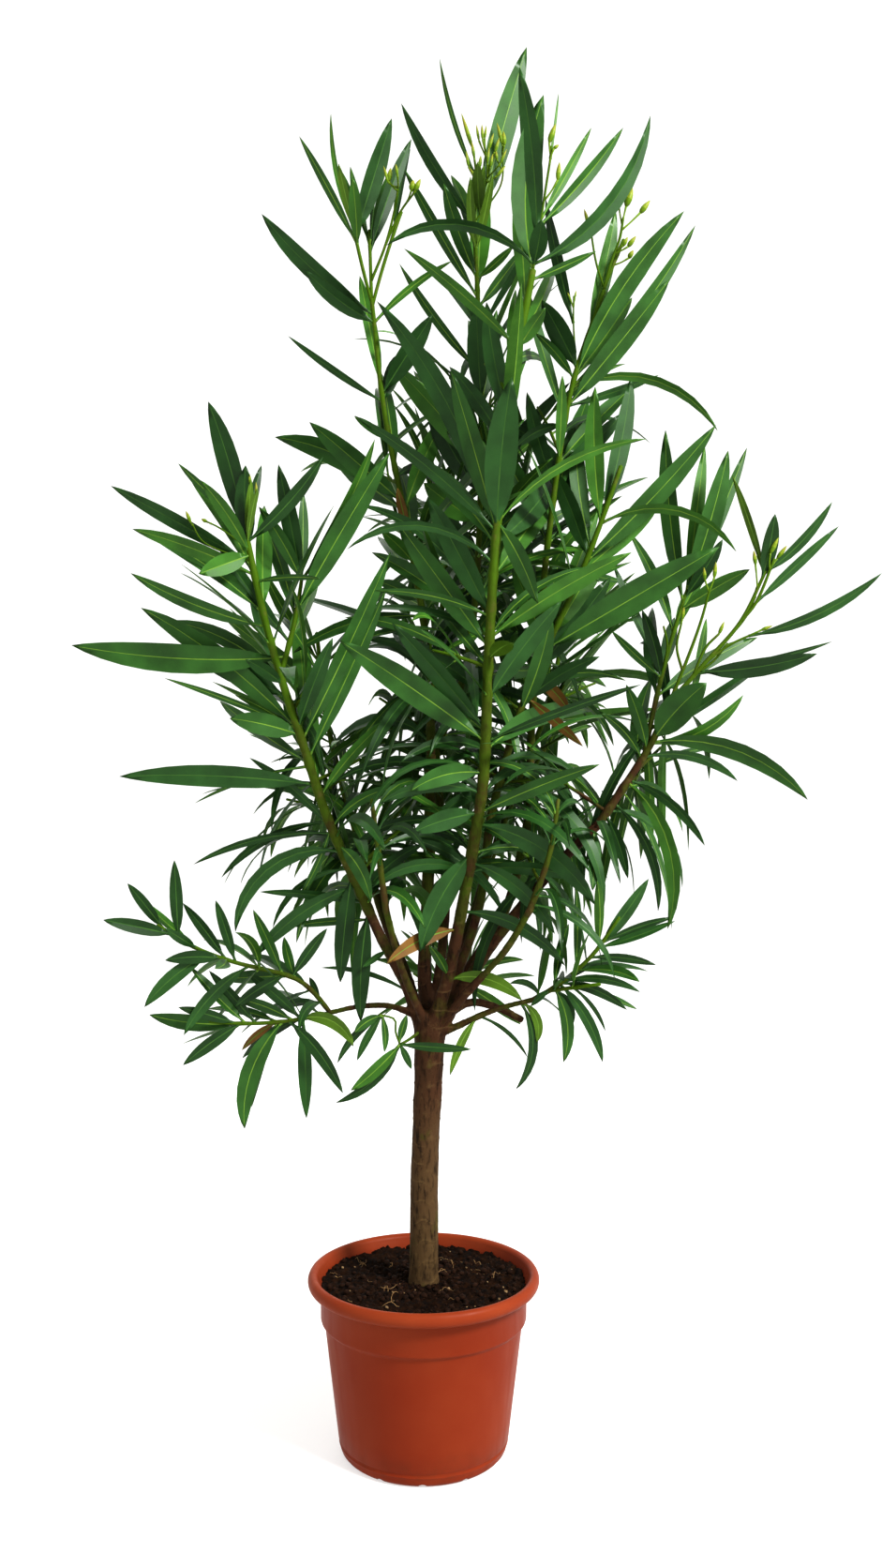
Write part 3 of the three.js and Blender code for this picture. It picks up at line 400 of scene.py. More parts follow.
# What shows in the picture, by the mass that carries it
SEEN = {
    "left_tall": (
        Stalk(((398, 300), (411, 262), (421, 224), (425, 198)), 1.3, 0.9, -16),
        Stalk(((408, 262), (426, 228), (443, 204)), 1.1, 0.9, -10),
        *heads(
            (425, 200, 414, 194, 409, 176, 1.3, -14), (425, 204, 415, 193, 417, 178, 2.3, -14),
            (425, 200, 424, 186, 422, 174, 1.3, -18), (434, 217, 439, 203, 441, 191, 2.7, -12),
            (436, 214, 443, 203, 449, 190, 2.3, -12),
        ),
        *leaves(
            (396, 340, 279, 228, 17, -26, -20, DARK), (396, 342, 325, 288, 15, -18, -30, DARK),
            (376, 260, 319, 145, 8, -8, 10), (372, 245, 353, 120, 5, -18), (374, 246, 361, 174, 8, -8, -15, YOUNG),
            (381, 262, 376, 189, 12, 0, -25, BRIGHT), (386, 250, 418, 126, 18, 10, -10),
            (400, 268, 439, 148, 13, -4, 10, DEEP), (405, 432, 307, 358, 7, -4, -10), (416, 474, 378, 444, 8, 0, -20),
            (411, 420, 462, 335, 19, 4, -15, DEEP), (412, 430, 430, 376, 15, 4, 10, DEEP),
            (408, 345, 483, 278, 7, 20, 20), (427, 532, 330, 450, 21, 6, -25), (424, 535, 293, 466, 22, 30, -10),
            (436, 566, 424, 520, 9, 6, -20, WITHERED), (459, 660, 312, 697, 12, 34, -30),
            (448, 640, 404, 620, 14, 10, 20), (440, 600, 407, 566, 13, 6, -15), (455, 700, 383, 680, 8, 20, 20),
        ),
    ),
    "centre_tall": (
        Stalk(((512, 225), (508, 190), (505, 160)), 1.2, 0.9, -4),
        Stalk(((516, 230), (520, 190), (518, 160)), 1.3, 0.9, -8),
        Stalk(((520, 236), (534, 198), (536, 158)), 0.9, 0.7, -6),
        *heads(
            (505, 166, 504, 158, 492, 120, 1.9), (517, 168, 511, 150, 508, 132, 1.2, -4),
            (518, 166, 515, 149, 514, 132, 1.4, -6), (518, 165, 517, 148, 519, 133, 1.2, 2),
            (538, 160, 536, 154, 530, 130, 1.8, -3), (538, 164, 538, 155, 537, 139, 2.3, -3),
            (519, 178, 521, 160, 527, 141, 1.8, -8), (519, 188, 523, 178, 526, 163, 1.7, -9),
            (520, 200, 512, 178, 513, 165, 1.6, -9), (540, 182, 530, 170, 529, 160, 1.5, -9),
            (512, 184, 506, 168, 503, 150, 1.5, -6), (522, 180, 528, 162, 533, 146, 1.6, -7),
            (524, 190, 534, 174, 541, 158, 1.5, -10), (516, 190, 520, 174, 522, 156, 1.4, -12),
            (510, 192, 500, 178, 497, 160, 1.4, -8), (524, 196, 530, 188, 540, 176, 1.6, -12),
            (514, 200, 508, 190, 500, 178, 1.3, -12),
        ),
        *leaves(
            (512, 262, 502, 188, 8, 0, -26, 8, YOUNG), (520, 262, 526, 184, 8, 0, -26, 8, YOUNG),
            (512, 228, 510, 172, 11, 0, -30, 10, YOUNG), (516, 232, 516, 176, 8, 0, -22, 10, YOUNG),
            (500, 189, 469, 62, 5, -10), (497, 235, 428, 110, 12, -6, -10), (514, 230, 562, 50, 23, 8, 2, 18, MID),
            (502, 300, 473, 195, 15, 4, -20), (507, 322, 430, 178, 10, -4, -30),
            (510, 268, 508, 180, 18, 0, -10, BRIGHT), (512, 425, 508, 325, 20, 0, -20, DARK),
            (490, 402, 426, 281, 9, -6, 5), (500, 470, 480, 395, 13, 0, -20), (505, 500, 418, 388, 24, 4, 10),
            (508, 530, 455, 430, 22, 0, 20, DEEP), (512, 330, 560, 262, 11, -10, 15), (512, 300, 548, 262, 8, -6, -10),
            (506, 560, 452, 515, 22, 0, -10, 5, BRIGHT), (512, 440, 530, 330, 15, 0, 20),
        ),
    ),
    "front_crown": (
        Stalk(((583, 224), (583, 196), (587, 170), (588, 156)), 1.2, 0.9, -6),
        *heads(
            (586, 166, 586, 152, 593, 131, 2.5, -2), (585, 176, 591, 158, 597, 154, 1.5, -4),
            (583, 214, 595, 192, 597, 172, 2.1, -2),
        ),
        *leaves(
            (586, 170, 596, 99, 2.4, -6), (570, 288, 580, 101, 25, 30, -5, 5, MID), (578, 262, 554, 71, 17, 20, 20),
            (572, 282, 578, 234, 15, 0, -30, 0), (574, 282, 694, 123, 16, -44, 10, DARK),
            (580, 242, 665, 136, 12, -10, 25), (586, 235, 631, 136, 8, -8, 30), (572, 302, 636, 268, 8, 6, 20),
            (565, 280, 412, 262, 10, 100, -20), (546, 372, 431, 265, 11, 22, -20), (543, 445, 519, 322, 17, 0, 15, 10),
            (548, 372, 582, 328, 13, 20, -10), (536, 565, 546, 402, 26, 4, -10, 0, DARK),
            (530, 565, 481, 395, 19, -4, -10), (526, 562, 402, 321, 20, 27, -20, DARK),
            (522, 565, 378, 443, 12, 12, -25), (521, 602, 370, 586, 8, 84, -35), (532, 560, 690, 468, 9, 48, -10),
            (530, 680, 674, 589, 18, 12, -15), (512, 688, 424, 557, 22, -2, 10, MID), (510, 655, 456, 530, 21, 0, 14),
            (512, 655, 399, 630, 8, 24, -10), (540, 560, 574, 644, 16, 10, -25),
            (522, 700, 548, 686, 14, 40, -40, YOUNG), (512, 790, 362, 683, 24, 10, -25, 10, MID),
            (512, 780, 418, 664, 18, 10, -15), (515, 788, 684, 730, 8, 8, -30),
            (508, 822, 437, 844, 17, 30, -30, 10, MID), (508, 866, 440, 888, 17, 30, -30, 10, DARK),
            (512, 866, 640, 815, 14, 12, -30), (512, 877, 635, 965, 20, 56, -30, DARK),
            (506, 924, 592, 996, 15, 50, -25, DARK), (500, 972, 603, 1030, 13, 50, -15, DARK),
            (506, 928, 625, 940, 12, 26, -10), (503, 905, 448, 1015, 22, 16, -4, 20, DARK),
            (508, 850, 404, 858, 12, 50, -30), (500, 930, 398, 946, 11, 60, -20), (512, 748, 600, 640, 19, 4, -10),
            (479, 1044, 557, 1067, 12, 54, -14, 4, YOUNG), (466, 985, 412, 1028, 13, 30, -30, 5, WITHERED),
            (478, 1040, 458, 1008, 9, 10, -20),
        ),
    ),
    "right_tall": (
        Stalk(((640, 310), (652, 280), (661, 255), (665, 232)), 1.5, 1.0, -6),
        Stalk(((640, 306), (636, 280), (630, 244)), 1.0, 0.8, 6),
        Stalk(((617, 392), (612, 350), (612, 316)), 0.9, 0.6, -8),
        *heads(
            (664, 240, 660, 218, 660, 205, 2.2, 2), (665, 238, 668, 220, 675, 199, 3.3, -2),
            (664, 246, 683, 227, 694, 213, 2.6, 2), (657, 266, 665, 262, 670, 252, 1.8, -4),
            (656, 270, 670, 263, 679, 251, 2.2, -2), (653, 282, 671, 275, 676, 266, 2.2, -2),
            (631, 250, 628, 240, 623, 222, 1.6), (631, 250, 630, 243, 637, 230, 2.4, -2),
            (612, 328, 608, 318, 605, 311, 0.9), (612, 326, 613, 318, 615, 309, 0.9),
        ),
        *leaves(
            (615, 405, 730, 225, 20, 12, 0, MID), (618, 412, 742, 240, 14, -14, 20),
            (610, 430, 715, 297, 20, -10, -15), (622, 356, 657, 224, 15, -6, 10), (611, 392, 578, 320, 20, 10, -20),
            (607, 405, 571, 355, 9, 12, -10), (609, 412, 766, 460, 9, 92, -15), (606, 432, 703, 400, 8, -10, 25),
            (606, 345, 582, 212, 11, -6, 20, DEEP), (600, 452, 550, 478, 10, 50, 10), (588, 520, 562, 418, 15, 0, 15),
            (590, 500, 665, 440, 15, -4, 20), (592, 490, 600, 400, 10, 0, -15),
        ),
    ),
    "right_mid": (
        *leaves(
            (644, 560, 635, 412, 17, 0, -10, 10), (650, 552, 674, 400, 17, -4, 10),
            (626, 600, 764, 453, 20, -6, -10, MID), (640, 560, 786, 589, 9, 98, -25), (620, 612, 700, 545, 15, 0, 10),
            (590, 692, 768, 583, 27, 10, -25, 0, MID), (556, 760, 588, 655, 18, -10, -25),
            (570, 710, 652, 615, 20, 0, 5), (585, 680, 660, 560, 20, -4, 20), (575, 700, 640, 540, 15, 0, 30),
            (560, 752, 640, 700, 14, 30, -20), (583, 695, 546, 600, 17, 0, 10), (625, 596, 590, 500, 17, 4, 15),
            (560, 744, 668, 726, 8, 60, -10), (590, 728, 608, 760, 12, 40, -20, WITHERED),
            (612, 762, 622, 796, 10, 10, -10, WITHERED),
        ),
    ),
    "right_crown": (
        Stalk(((714, 749), (752, 707), (790, 663), (817, 609)), 2.2, 1.3, -8),
        Stalk(((706, 762), (728, 716), (746, 668), (758, 626)), 1.7, 1.0, -14),
        Stalk(((752, 707), (778, 688), (808, 674)), 1.2, 0.9, -6),
        Stalk(((772, 686), (794, 660), (806, 636)), 1.3, 1.0, 6),
        Stalk(((728, 716), (722, 690), (727, 664)), 1.2, 0.9, -10),
        *heads(
            (757, 630, 762, 616, 764, 598, 1.8), (757, 632, 752, 618, 751, 604, 1.6),
            (804, 676, 812, 672, 825, 667, 1.6), (804, 640, 806, 632, 812, 618, 1.6),
            (727, 666, 728, 660, 730, 646, 1.5),
        ),
        Stalk(((738, 720), (752, 692), (767, 676)), 1.4, 1.0, -6),
        Stalk(((790, 663), (808, 640), (826, 596)), 1.5, 1.1, -6),
        Stalk(((742, 726), (762, 704), (776, 686)), 1.2, 0.9, 6),
        Stalk(((704, 722), (712, 690), (708, 668)), 1.2, 0.9, -6),
        *heads(
            (812, 618, 815, 592, 818, 573, 2.0), (820, 608, 822, 590, 831, 572, 2.1, -3),
            (822, 604, 829, 596, 840, 581, 2.0, 3), (806, 628, 806, 602, 804, 586, 1.8, -3),
            (764, 680, 767, 676, 773, 662, 1.6), (816, 612, 810, 598, 808, 584, 1.7, 3),
        ),
        *leaves(
            (720, 640, 710, 458, 17, 0, 0), (726, 610, 752, 475, 13, 0, 15), (730, 625, 777, 480, 20, -6, -10),
            (738, 615, 797, 477, 12, -4, 20), (738, 640, 771, 575, 13, 0, -15, DEEP),
            (706, 725, 685, 650, 12, 6, -10, DEEP), (704, 722, 652, 672, 8, 6, -10), (733, 655, 800, 607, 16, 4, -20),
            (812, 606, 888, 535, 9, -16, 0, DARK), (806, 642, 895, 561, 9, -10, 15, DARK),
            (795, 672, 941, 611, 10, -30, -10, DARK), (758, 732, 872, 697, 17, -6, -15, DEEP),
            (750, 728, 888, 684, 6, -8, 10), (700, 795, 793, 741, 11, -44, -10),
            (702, 795, 862, 853, 17, 58, -15, MID), (697, 812, 787, 833, 9, 48, 10),
            (702, 790, 754, 728, 27, 6, -30, 0, MID), (805, 612, 827, 548, 14, 0, -10, DEEP),
            (806, 606, 781, 506, 7, 0, 5, YOUNG), (676, 836, 752, 902, 9, 44, -10), (680, 842, 712, 991, 14, 84, -30),
            (672, 868, 702, 972, 9, 50, 10), (660, 878, 670, 937, 10, 20, -20), (638, 888, 632, 950, 12, 20, -25),
            (690, 800, 668, 730, 13, 8, -10), (690, 812, 640, 760, 9, 50, -10),
        ),
    ),
    "left_crown": (
        Stalk(((256, 575), (254, 530), (252, 505)), 1.0, 0.8, 6),
        Stalk(((258, 584), (236, 564), (220, 556)), 0.9, 0.6, -4),
        Stalk(((262, 600), (220, 580), (204, 557)), 0.9, 0.6, -6),
        *heads(
            (252, 510, 253, 496, 252, 486, 1.6), (252, 516, 252, 509, 248, 496, 1.7, 3),
            (266, 560, 267, 516, 266, 504, 1.4, -5), (268, 570, 274, 532, 273, 513, 1.6, -6),
            (206, 560, 203, 556, 198, 544, 1.6), (226, 559, 220, 556, 214, 553, 1.6),
        ),
        *leaves(
            (268, 574, 268, 510, 7, 0, -12, 8, YOUNG), (270, 578, 275, 520, 6, 0, -16, 8, YOUNG),
            (302, 700, 76, 688, 25, -4, -10, 5, MID), (340, 835, 127, 828, 19, 10, -20, 5, DARK),
            (318, 778, 150, 648, 21, 6, 10), (283, 668, 139, 611, 13, -6, -10), (262, 600, 118, 518, 14, -12, 15),
            (262, 612, 141, 564, 14, 0, -5), (260, 570, 222, 428, 20, 8, 5), (258, 560, 190, 494, 8, 0, 20),
            (262, 590, 214, 512, 13, 6, -15), (268, 594, 212, 612, 17, 0, -30, 0, BRIGHT),
            (264, 588, 262, 496, 17, 0, -15, 10, DEEP), (270, 568, 279, 496, 9, 0, 10),
            (268, 578, 345, 487, 13, -8, -5), (315, 652, 416, 482, 21, 0, -10), (323, 607, 297, 495, 16, 0, -15, DEEP),
            (324, 600, 323, 523, 10, 0, 10), (322, 560, 400, 468, 12, -6, 10), (322, 610, 276, 540, 13, 6, -25),
            (275, 622, 343, 617, 6, 8, -30), (318, 778, 175, 723, 6, 16, -15), (320, 785, 245, 766, 19, 6, -25, 0),
            (322, 790, 417, 588, 17, -6, -10), (320, 775, 355, 680, 15, 0, -30), (334, 812, 412, 628, 15, -8, 10),
            (300, 728, 262, 703, 12, 6, -20), (305, 745, 196, 690, 22, 4, 20), (352, 909, 251, 994, 14, 92, -15),
            (352, 958, 271, 1021, 14, 40, -20), (359, 940, 363, 1048, 16, 6, -6, 0),
            (381, 972, 385, 1090, 16, 6, -6, 0), (331, 987, 277, 951, 8, 10, -10), (352, 934, 291, 990, 6, 64, 0),
            (322, 892, 316, 962, 6, -10, 0, 0), (331, 1011, 308, 988, 8, 10, 5), (421, 1064, 342, 1032, 5, 44, 0),
            (405, 1018, 386, 1032, 6, 20, -10), (359, 905, 396, 962, 14, 40, -30), (350, 890, 206, 922, 7, 34, 0),
            (345, 880, 236, 936, 8, 54, 20), (335, 815, 207, 857, 4, 24, 10), (350, 880, 266, 808, 9, 20, 10),
            (340, 850, 420, 762, 11, 30, 10), (350, 880, 436, 840, 10, 60, 0), (380, 960, 452, 900, 12, 40, 10),
        ),
    ),
    "low_left_spray": (
        *leaves(
            (185, 994, 110, 981, 12, -4, -10, 0), (173, 990, 136, 942, 10, 0, 0), (192, 998, 186, 917, 11, 0, -5, 10),
            (238, 1022, 176, 1024, 12, 10, -10), (222, 1019, 154, 1074, 13, 26, -15, 0),
            (240, 1022, 195, 963, 10, 0, 5), (252, 1024, 230, 960, 10, 4, 10), (265, 1031, 196, 1104, 12, 30, -15),
            (255, 1095, 159, 1082, 14, -8, -10, 0), (258, 1098, 195, 1136, 12, 20, -15),
            (302, 1096, 261, 1204, 17, 52, -15, 0), (325, 1090, 327, 1193, 13, -16, -15),
            (308, 1094, 366, 1166, 12, 24, -25), (272, 1095, 223, 1035, 10, 0, 0), (312, 1042, 349, 990, 10, 16, 0),
            (305, 1036, 250, 1074, 11, 14, -6), (318, 1038, 303, 999, 9, 0, 6), (312, 1088, 248, 1064, 10, 12, -12),
            (296, 1098, 258, 1120, 7, 20, 4, WITHERED), (344, 1066, 330, 1042, 6, 0, 8, DEEP),
            (250, 1098, 190, 1074, 10, 6, -20), (300, 1036, 270, 970, 10, 6, -10),
            (320, 1080, 377, 1116, 12, 84, -12, YOUNG), (210, 1010, 176, 990, 9, 0, -10),
            (320, 1080, 262, 1036, 11, 20, -10),
        ),
    ),
    "hanging_sprig": (
        Stalk(((426, 1116), (422, 1100), (421, 1087), (405, 1082)), 0.9, 0.8, -4),
        *leaves(
            (426, 1117, 503, 1119, 8, 8, -16, 10), (424, 1119, 374, 1163, 11, -10, -10, 4, BRIGHT),
            (427, 1120, 358, 1176, 9, -40, 0, DEEP), (428, 1110, 434, 1082, 7, 0, -4, 0),
            (427, 1122, 439, 1140, 6, 10, -4, 0), (406, 1082, 378, 1102, 9, 34, -4),
            (392, 1086, 381, 1131, 7, 20, 0, 0), (394, 1088, 410, 1122, 6, 20, 0, 0),
            (382, 1100, 360, 1134, 7, 40, -6, DEEP),
        ),
    ),
    "low_right_spray": (
        *leaves(
            (640, 1010, 692, 937, 12, -6, -5), (645, 1006, 719, 978, 7, 6, 10), (632, 1022, 700, 1029, 8, 20, -10),
            (602, 1047, 683, 1058, 8, 46, -10), (602, 1050, 669, 1077, 9, 44, -16),
            (598, 1051, 643, 1133, 10, 44, -6, 0), (590, 1052, 601, 1133, 11, 46, 0, 0),
            (595, 1056, 611, 1093, 11, 26, 4, 0), (612, 1052, 646, 1100, 4, 30, 0), (584, 1055, 566, 1073, 6, 30, 0),
            (574, 1058, 544, 1049, 6, 100, 0), (556, 1066, 550, 1162, 9, -67, 0),
            (558, 1070, 572, 1112, 8, 78, 0, 0, YOUNG), (512, 1084, 563, 1128, 4, 44, 0),
            (509, 1085, 480, 1147, 8, 28, -10, YOUNG),
        ),
    ),
}
# What later leaves may not hide: whole limbs, and main stems from one share of their length to another
SHOWN_LIMBS = ("left_bough", "front_bough", "low_left_bough", "low_right_bough", "pruned_stub")
BARE_STEMS = {
    "left_crown": (0.0, 0.8), "right_crown": (0.1, 1.0), "left_tall": (0.55, 1.0), "front_crown": (0.1, 0.45),
}

# How fresh and green a stem is at its foot and tip
YOUTH = {"right_crown": (0.05, 0.7), "inner_left": (0.45, 0.7), "inner_right": (0.45, 0.7)}
USUAL_YOUTH = (0.5, 1.0)
STALK_YOUTH = (0.85, 1.0)
SPRIG_YOUTH = (0.6, 0.8)

# Stems
REACH = 6.0  # how far leaves may pass the solids' box
ROOT_SINK = 6.0  # how deep a main stem starts in its bough
STEM_STEP = 7.0
STALK_STEP = 4.0
SPRIG_STEP = 3.0
SIDE_FOOT = 0.8  # a side shoot's thickness over its stem's
SIDE_TIP = 1.5
TWIGS = {LUSH: 30, FULL: 20, THICKET: 16, LEADER: 34, TALL: 24}
TWIG_LINE = {"at": (0.03, 0.86), "rise": (5, 60), "length": (26, 75), "bow": 20}
TWIG_THICK = {"most": 1.6, "share": 0.6, "taper": 0.75}
FEWEST = 4  # leaves below which a twig isn't grown
SEEN_SEED = 401
FILL_SEED = 61

# Whorls
WHORL = 3
CROWDING = 1.3
WEEPING = {"bow": 88.0, "shorter": 0.82, "narrower": 0.8, "rise": 12.0}
JITTER = {"turn": 14.0, "spread": 8.0, "bow": 10.0, "length": 0.12, "roll": 28.0}
SLIMNESS = (0.62, 1.0)
LEAF_WIDTH_MOST = 23.0
STEEPEST = 88.0
ROOT_DEPTH = 0.4  # how deep a leaf is rooted, as a share of the stem's radius
TURNED = (0.25, 0.85)  # how much of the way a blade turns to its viewer
MOST_TURN = 75.0
BACK_FROM = 60.0  # place along Y from which leaves turn to a viewer behind
NUDGES = (0.0, 14.0, -14.0, 28.0, -28.0, 44.0, -44.0)
LEANS = (0.0, 10.0, -10.0, 20.0, -20.0, 32.0, -32.0)
FILL_BLADE = {"fold": (5, 22), "twist": 25, "sickle": 0.05}
SEEN_BLADE = {"fold": (6, 14), "twist": 14, "sickle": 0.03}

# Tones, by the share of the stem below a leaf and its height
OLD_BELOW = 0.3
TIP_ABOVE = {"seen": 0.85, "fill": 0.8}
LOW_LEAVES = 470.0
OLD_TONES = (DEEP, DEEP, DARK, DARK, MID)
GROWN_TONES = (DARK, MID, MID, MID, BRIGHT)
TIP_TONES = (MID, BRIGHT, BRIGHT)

# The picture, and how much of a leaf may lie on its background or hide what has to show
EYE = Vector((15.0, -1150.0, 573.0))
EYE_BEHIND = Vector((15.0, 1150.0, 573.0))
PICTURE = (941, 1672)
FOCUS = 1415.0
CELL = 3
STRAYING = 0.1
HIDING = 0.16
NEARER = 2.0  # how much nearer a leaf lies before it hides another
COARSE, FINE = (2, 1), (9, 4)  # steps along and across a leaf, to try a place and to mark it


class Dice:
    """Repeatable dice, the same on every machine."""

    SEED_STEP = 7919
    FACTOR = 48271
    MOST = 2147483647

    def __init__(self, seed: int) -> None:
        """Starts the dice.

        Args:
            seed: a whole number; each seed gives its own throws.
        """
        self.state = seed * self.SEED_STEP

    def throw(self) -> float:
        """Returns the next number from 0 to 1."""
        self.state = (self.state * self.FACTOR) % self.MOST
        return self.state / self.MOST

    def about(self, amount: float) -> float:
        """Returns the next number from minus to plus the amount."""
        return (self.throw() * 2 - 1) * amount

    def between(self, low: float, high: float) -> float:
        """Returns the next number from low to high."""
        return low + (high - low) * self.throw()

    def pick(self, options: tuple) -> object:
        """Returns one of the options."""
        return options[int(self.throw() * len(options)) % len(options)]


def blend(pair: Pair, share: float) -> float:
    """Returns the value at a share of the way from the first of a pair to the second."""
    return pair[0] + (pair[1] - pair[0]) * share


def sight(place: Pair) -> Vector:
    """Returns the line of sight through a place of the picture, one millimetre deep along Y."""
    return Vector(((place[0] - PICTURE[0] / 2) / FOCUS, 1.0, (PICTURE[1] / 2 - place[1]) / FOCUS))


def shown(point: Vector) -> Pair:
    """Returns where a point, in millimetres, shows in the picture."""
    off = point - EYE
    return PICTURE[0] / 2 + off.x / off.y * FOCUS, PICTURE[1] / 2 - off.z / off.y * FOCUS


@dataclass
class Arc:
    """A line that leaves a point on a bearing at a rise and droops evenly along its length."""

    start: Vector
    bearing: float
    rise: float
    length: float
    bow: float

    def facing(self, eye: Vector) -> float:
        """Measures how far the upper side of a blade along the arc, not rolled, is turned from an eye.

        Args:
            eye: where it is seen from.

        Returns:
            The angle.
        """
        onward = self.direction(0.5)
        across = Vector((math.sin(math.radians(self.bearing)), -math.cos(math.radians(self.bearing)), 0.0))
        view = (eye - self.point(0.5)).normalized()
        return math.degrees(math.atan2(across.dot(view), across.cross(onward).dot(view)))

    def direction(self, share: float) -> Vector:
        """Gives the line's direction.

        Args:
            share: share of its length.

        Returns:
            The direction there.
        """
        rise = math.radians(self.rise - self.bow * share)
        turn = math.radians(self.bearing)
        return Vector((math.cos(rise) * math.cos(turn), math.cos(rise) * math.sin(turn), math.sin(rise)))

    def point(self, share: float) -> Vector:
        """Gives a point of the line.

        Args:
            share: share of its length.

        Returns:
            The point there.
        """
        rise, bow = math.radians(self.rise), math.radians(self.bow)
        turn = math.radians(self.bearing)
        if abs(bow) > 1e-3:
            reach = self.length / bow * (math.sin(rise) - math.sin(rise - bow * share))
            climb = self.length / bow * (math.cos(rise - bow * share) - math.cos(rise))
        else:
            reach = self.length * share * math.cos(rise)
            climb = self.length * share * math.sin(rise)
        return self.start + Vector((math.cos(turn) * reach, math.sin(turn) * reach, climb))

    def path(self, steps: int) -> "Path":
        """Returns the line as a path of equal steps."""
        return Path([self.point(i / steps) for i in range(steps + 1)])


CURVE_STEPS = 16


class Path:
    """A line of points, with its length marked along it."""

    def __init__(self, points: list[Vector]) -> None:
        """Marks the length along a row of points.

        Args:
            points: the points, from foot to tip.
        """
        self.points = points
        self.marks = [0.0]
        for before, after in zip(points, points[1:]):
            self.marks.append(self.marks[-1] + (after - before).length)
        self.length = self.marks[-1]

    @classmethod
    def through(cls, corners: list[Vector], step: float) -> "Path":
        """Returns an evenly stepped smooth line through some corners.

        Args:
            corners: the points that it passes, two or more.
            step: about how far apart its points are.

        Returns:
            The smooth path.
        """
        ends = [corners[0] * 2 - corners[1], *corners, corners[-1] * 2 - corners[-2]]
        fine = []
        for a, b, c, d in zip(ends, ends[1:], ends[2:], ends[3:]):
            for i in range(CURVE_STEPS):
                t = i / CURVE_STEPS
                leave, arrive = (c - a) * 0.5, (d - b) * 0.5
                fine.append(
                    b * (2 * t**3 - 3 * t**2 + 1)
                    + leave * (t**3 - 2 * t**2 + t)
                    + c * (3 * t**2 - 2 * t**3)
                    + arrive * (t**3 - t**2)
                )
        line = cls([*fine, corners[-1].copy()])
        count = max(2, round(line.length / step))
        return cls([line.point(i / count) for i in range(count + 1)])

    def _reach(self, share: float) -> tuple[int, float]:
        """Finds a share of the length.

        Args:
            share: the share.

        Returns:
            The step that holds it, and the share within that step.
        """
        mark = min(max(share, 0.0), 1.0) * self.length
        i = 1
        while i < len(self.marks) - 1 and self.marks[i] < mark:
            i += 1
        return i, (mark - self.marks[i - 1]) / (self.marks[i] - self.marks[i - 1])

    def point(self, share: float) -> Vector:
        """Returns the point at a share of the length."""
        i, within = self._reach(share)
        return self.points[i - 1].lerp(self.points[i], within)

    def direction(self, share: float) -> Vector:
        """Returns the direction at a share of the length."""
        i, _ = self._reach(share)
        return (self.points[i] - self.points[i - 1]).normalized()


@dataclass
class Stem:
    """A tapering green stem, by its line and its radius at both ends.

    Attributes:
        nodes: shares of its length at which whorls stand and it is a little thicker.
        youth: how fresh and green it is at its start and end, from 0 to 1.
    """

    path: Path
    foot: float
    tip: float
    nodes: list[float] = field(default_factory=list)
    youth: Pair = (0.0, 1.0)

    def radius(self, share: float) -> float:
        """Returns the plain radius at a share of the length."""
        return blend((self.foot, self.tip), share)


@dataclass
class Leaf:
    """One leaf in place: its line as an Arc's, its width and its tone.

    Attributes:
        roll: turn of its blade about its own line.
        fold: how far its two halves rise from the midrib.
        twist: how far its blade turns from root to tip.
        sickle: how far it curves sideways, as a share of its length.
    """

    root: Vector
    bearing: float
    rise: float
    length: float
    width: float
    bow: float
    roll: float
    tone: Tone
    fold: float = 12.0
    twist: float = 0.0
    sickle: float = 0.0


@dataclass
class Bud:
    """A flower bud, by the line of its stalk, the way it points, its length and its greatest radius."""

    stalk: Path
    onward: Vector
    length: float
    thick: float


class Clearing:
    """The space that leaves and limbs already take."""

    def __init__(self) -> None:
        """Starts with nothing taken."""
        self.trees: list[BVHTree] = []
        self.lows = np.zeros((0, 3))
        self.highs = np.zeros((0, 3))

    def add(self, corners: np.ndarray, faces: list[tuple[int, ...]]) -> None:
        """Takes the space of one surface.

        Args:
            corners: its points, one row each.
            faces: its faces, as numbers of points.
        """
        self.trees.append(BVHTree.FromPolygons([Vector(c) for c in corners], faces))
        self.lows = np.vstack([self.lows, corners.min(0)])
        self.highs = np.vstack([self.highs, corners.max(0)])

    def is_free(self, corners: np.ndarray, faces: list[tuple[int, ...]]) -> bool:
        """Says whether a surface crosses nothing that is taken.

        Args:
            corners: its points, one row each.
            faces: its faces, as numbers of points.

        Returns:
            True if it is clear.
        """
        near = np.nonzero(
            (self.lows <= corners.max(0)).all(1) & (self.highs >= corners.min(0)).all(1)
        )[0]
        if not len(near):
            return True
        tree = BVHTree.FromPolygons([Vector(c) for c in corners], faces)
        return not any(tree.overlap(self.trees[i]) for i in near)


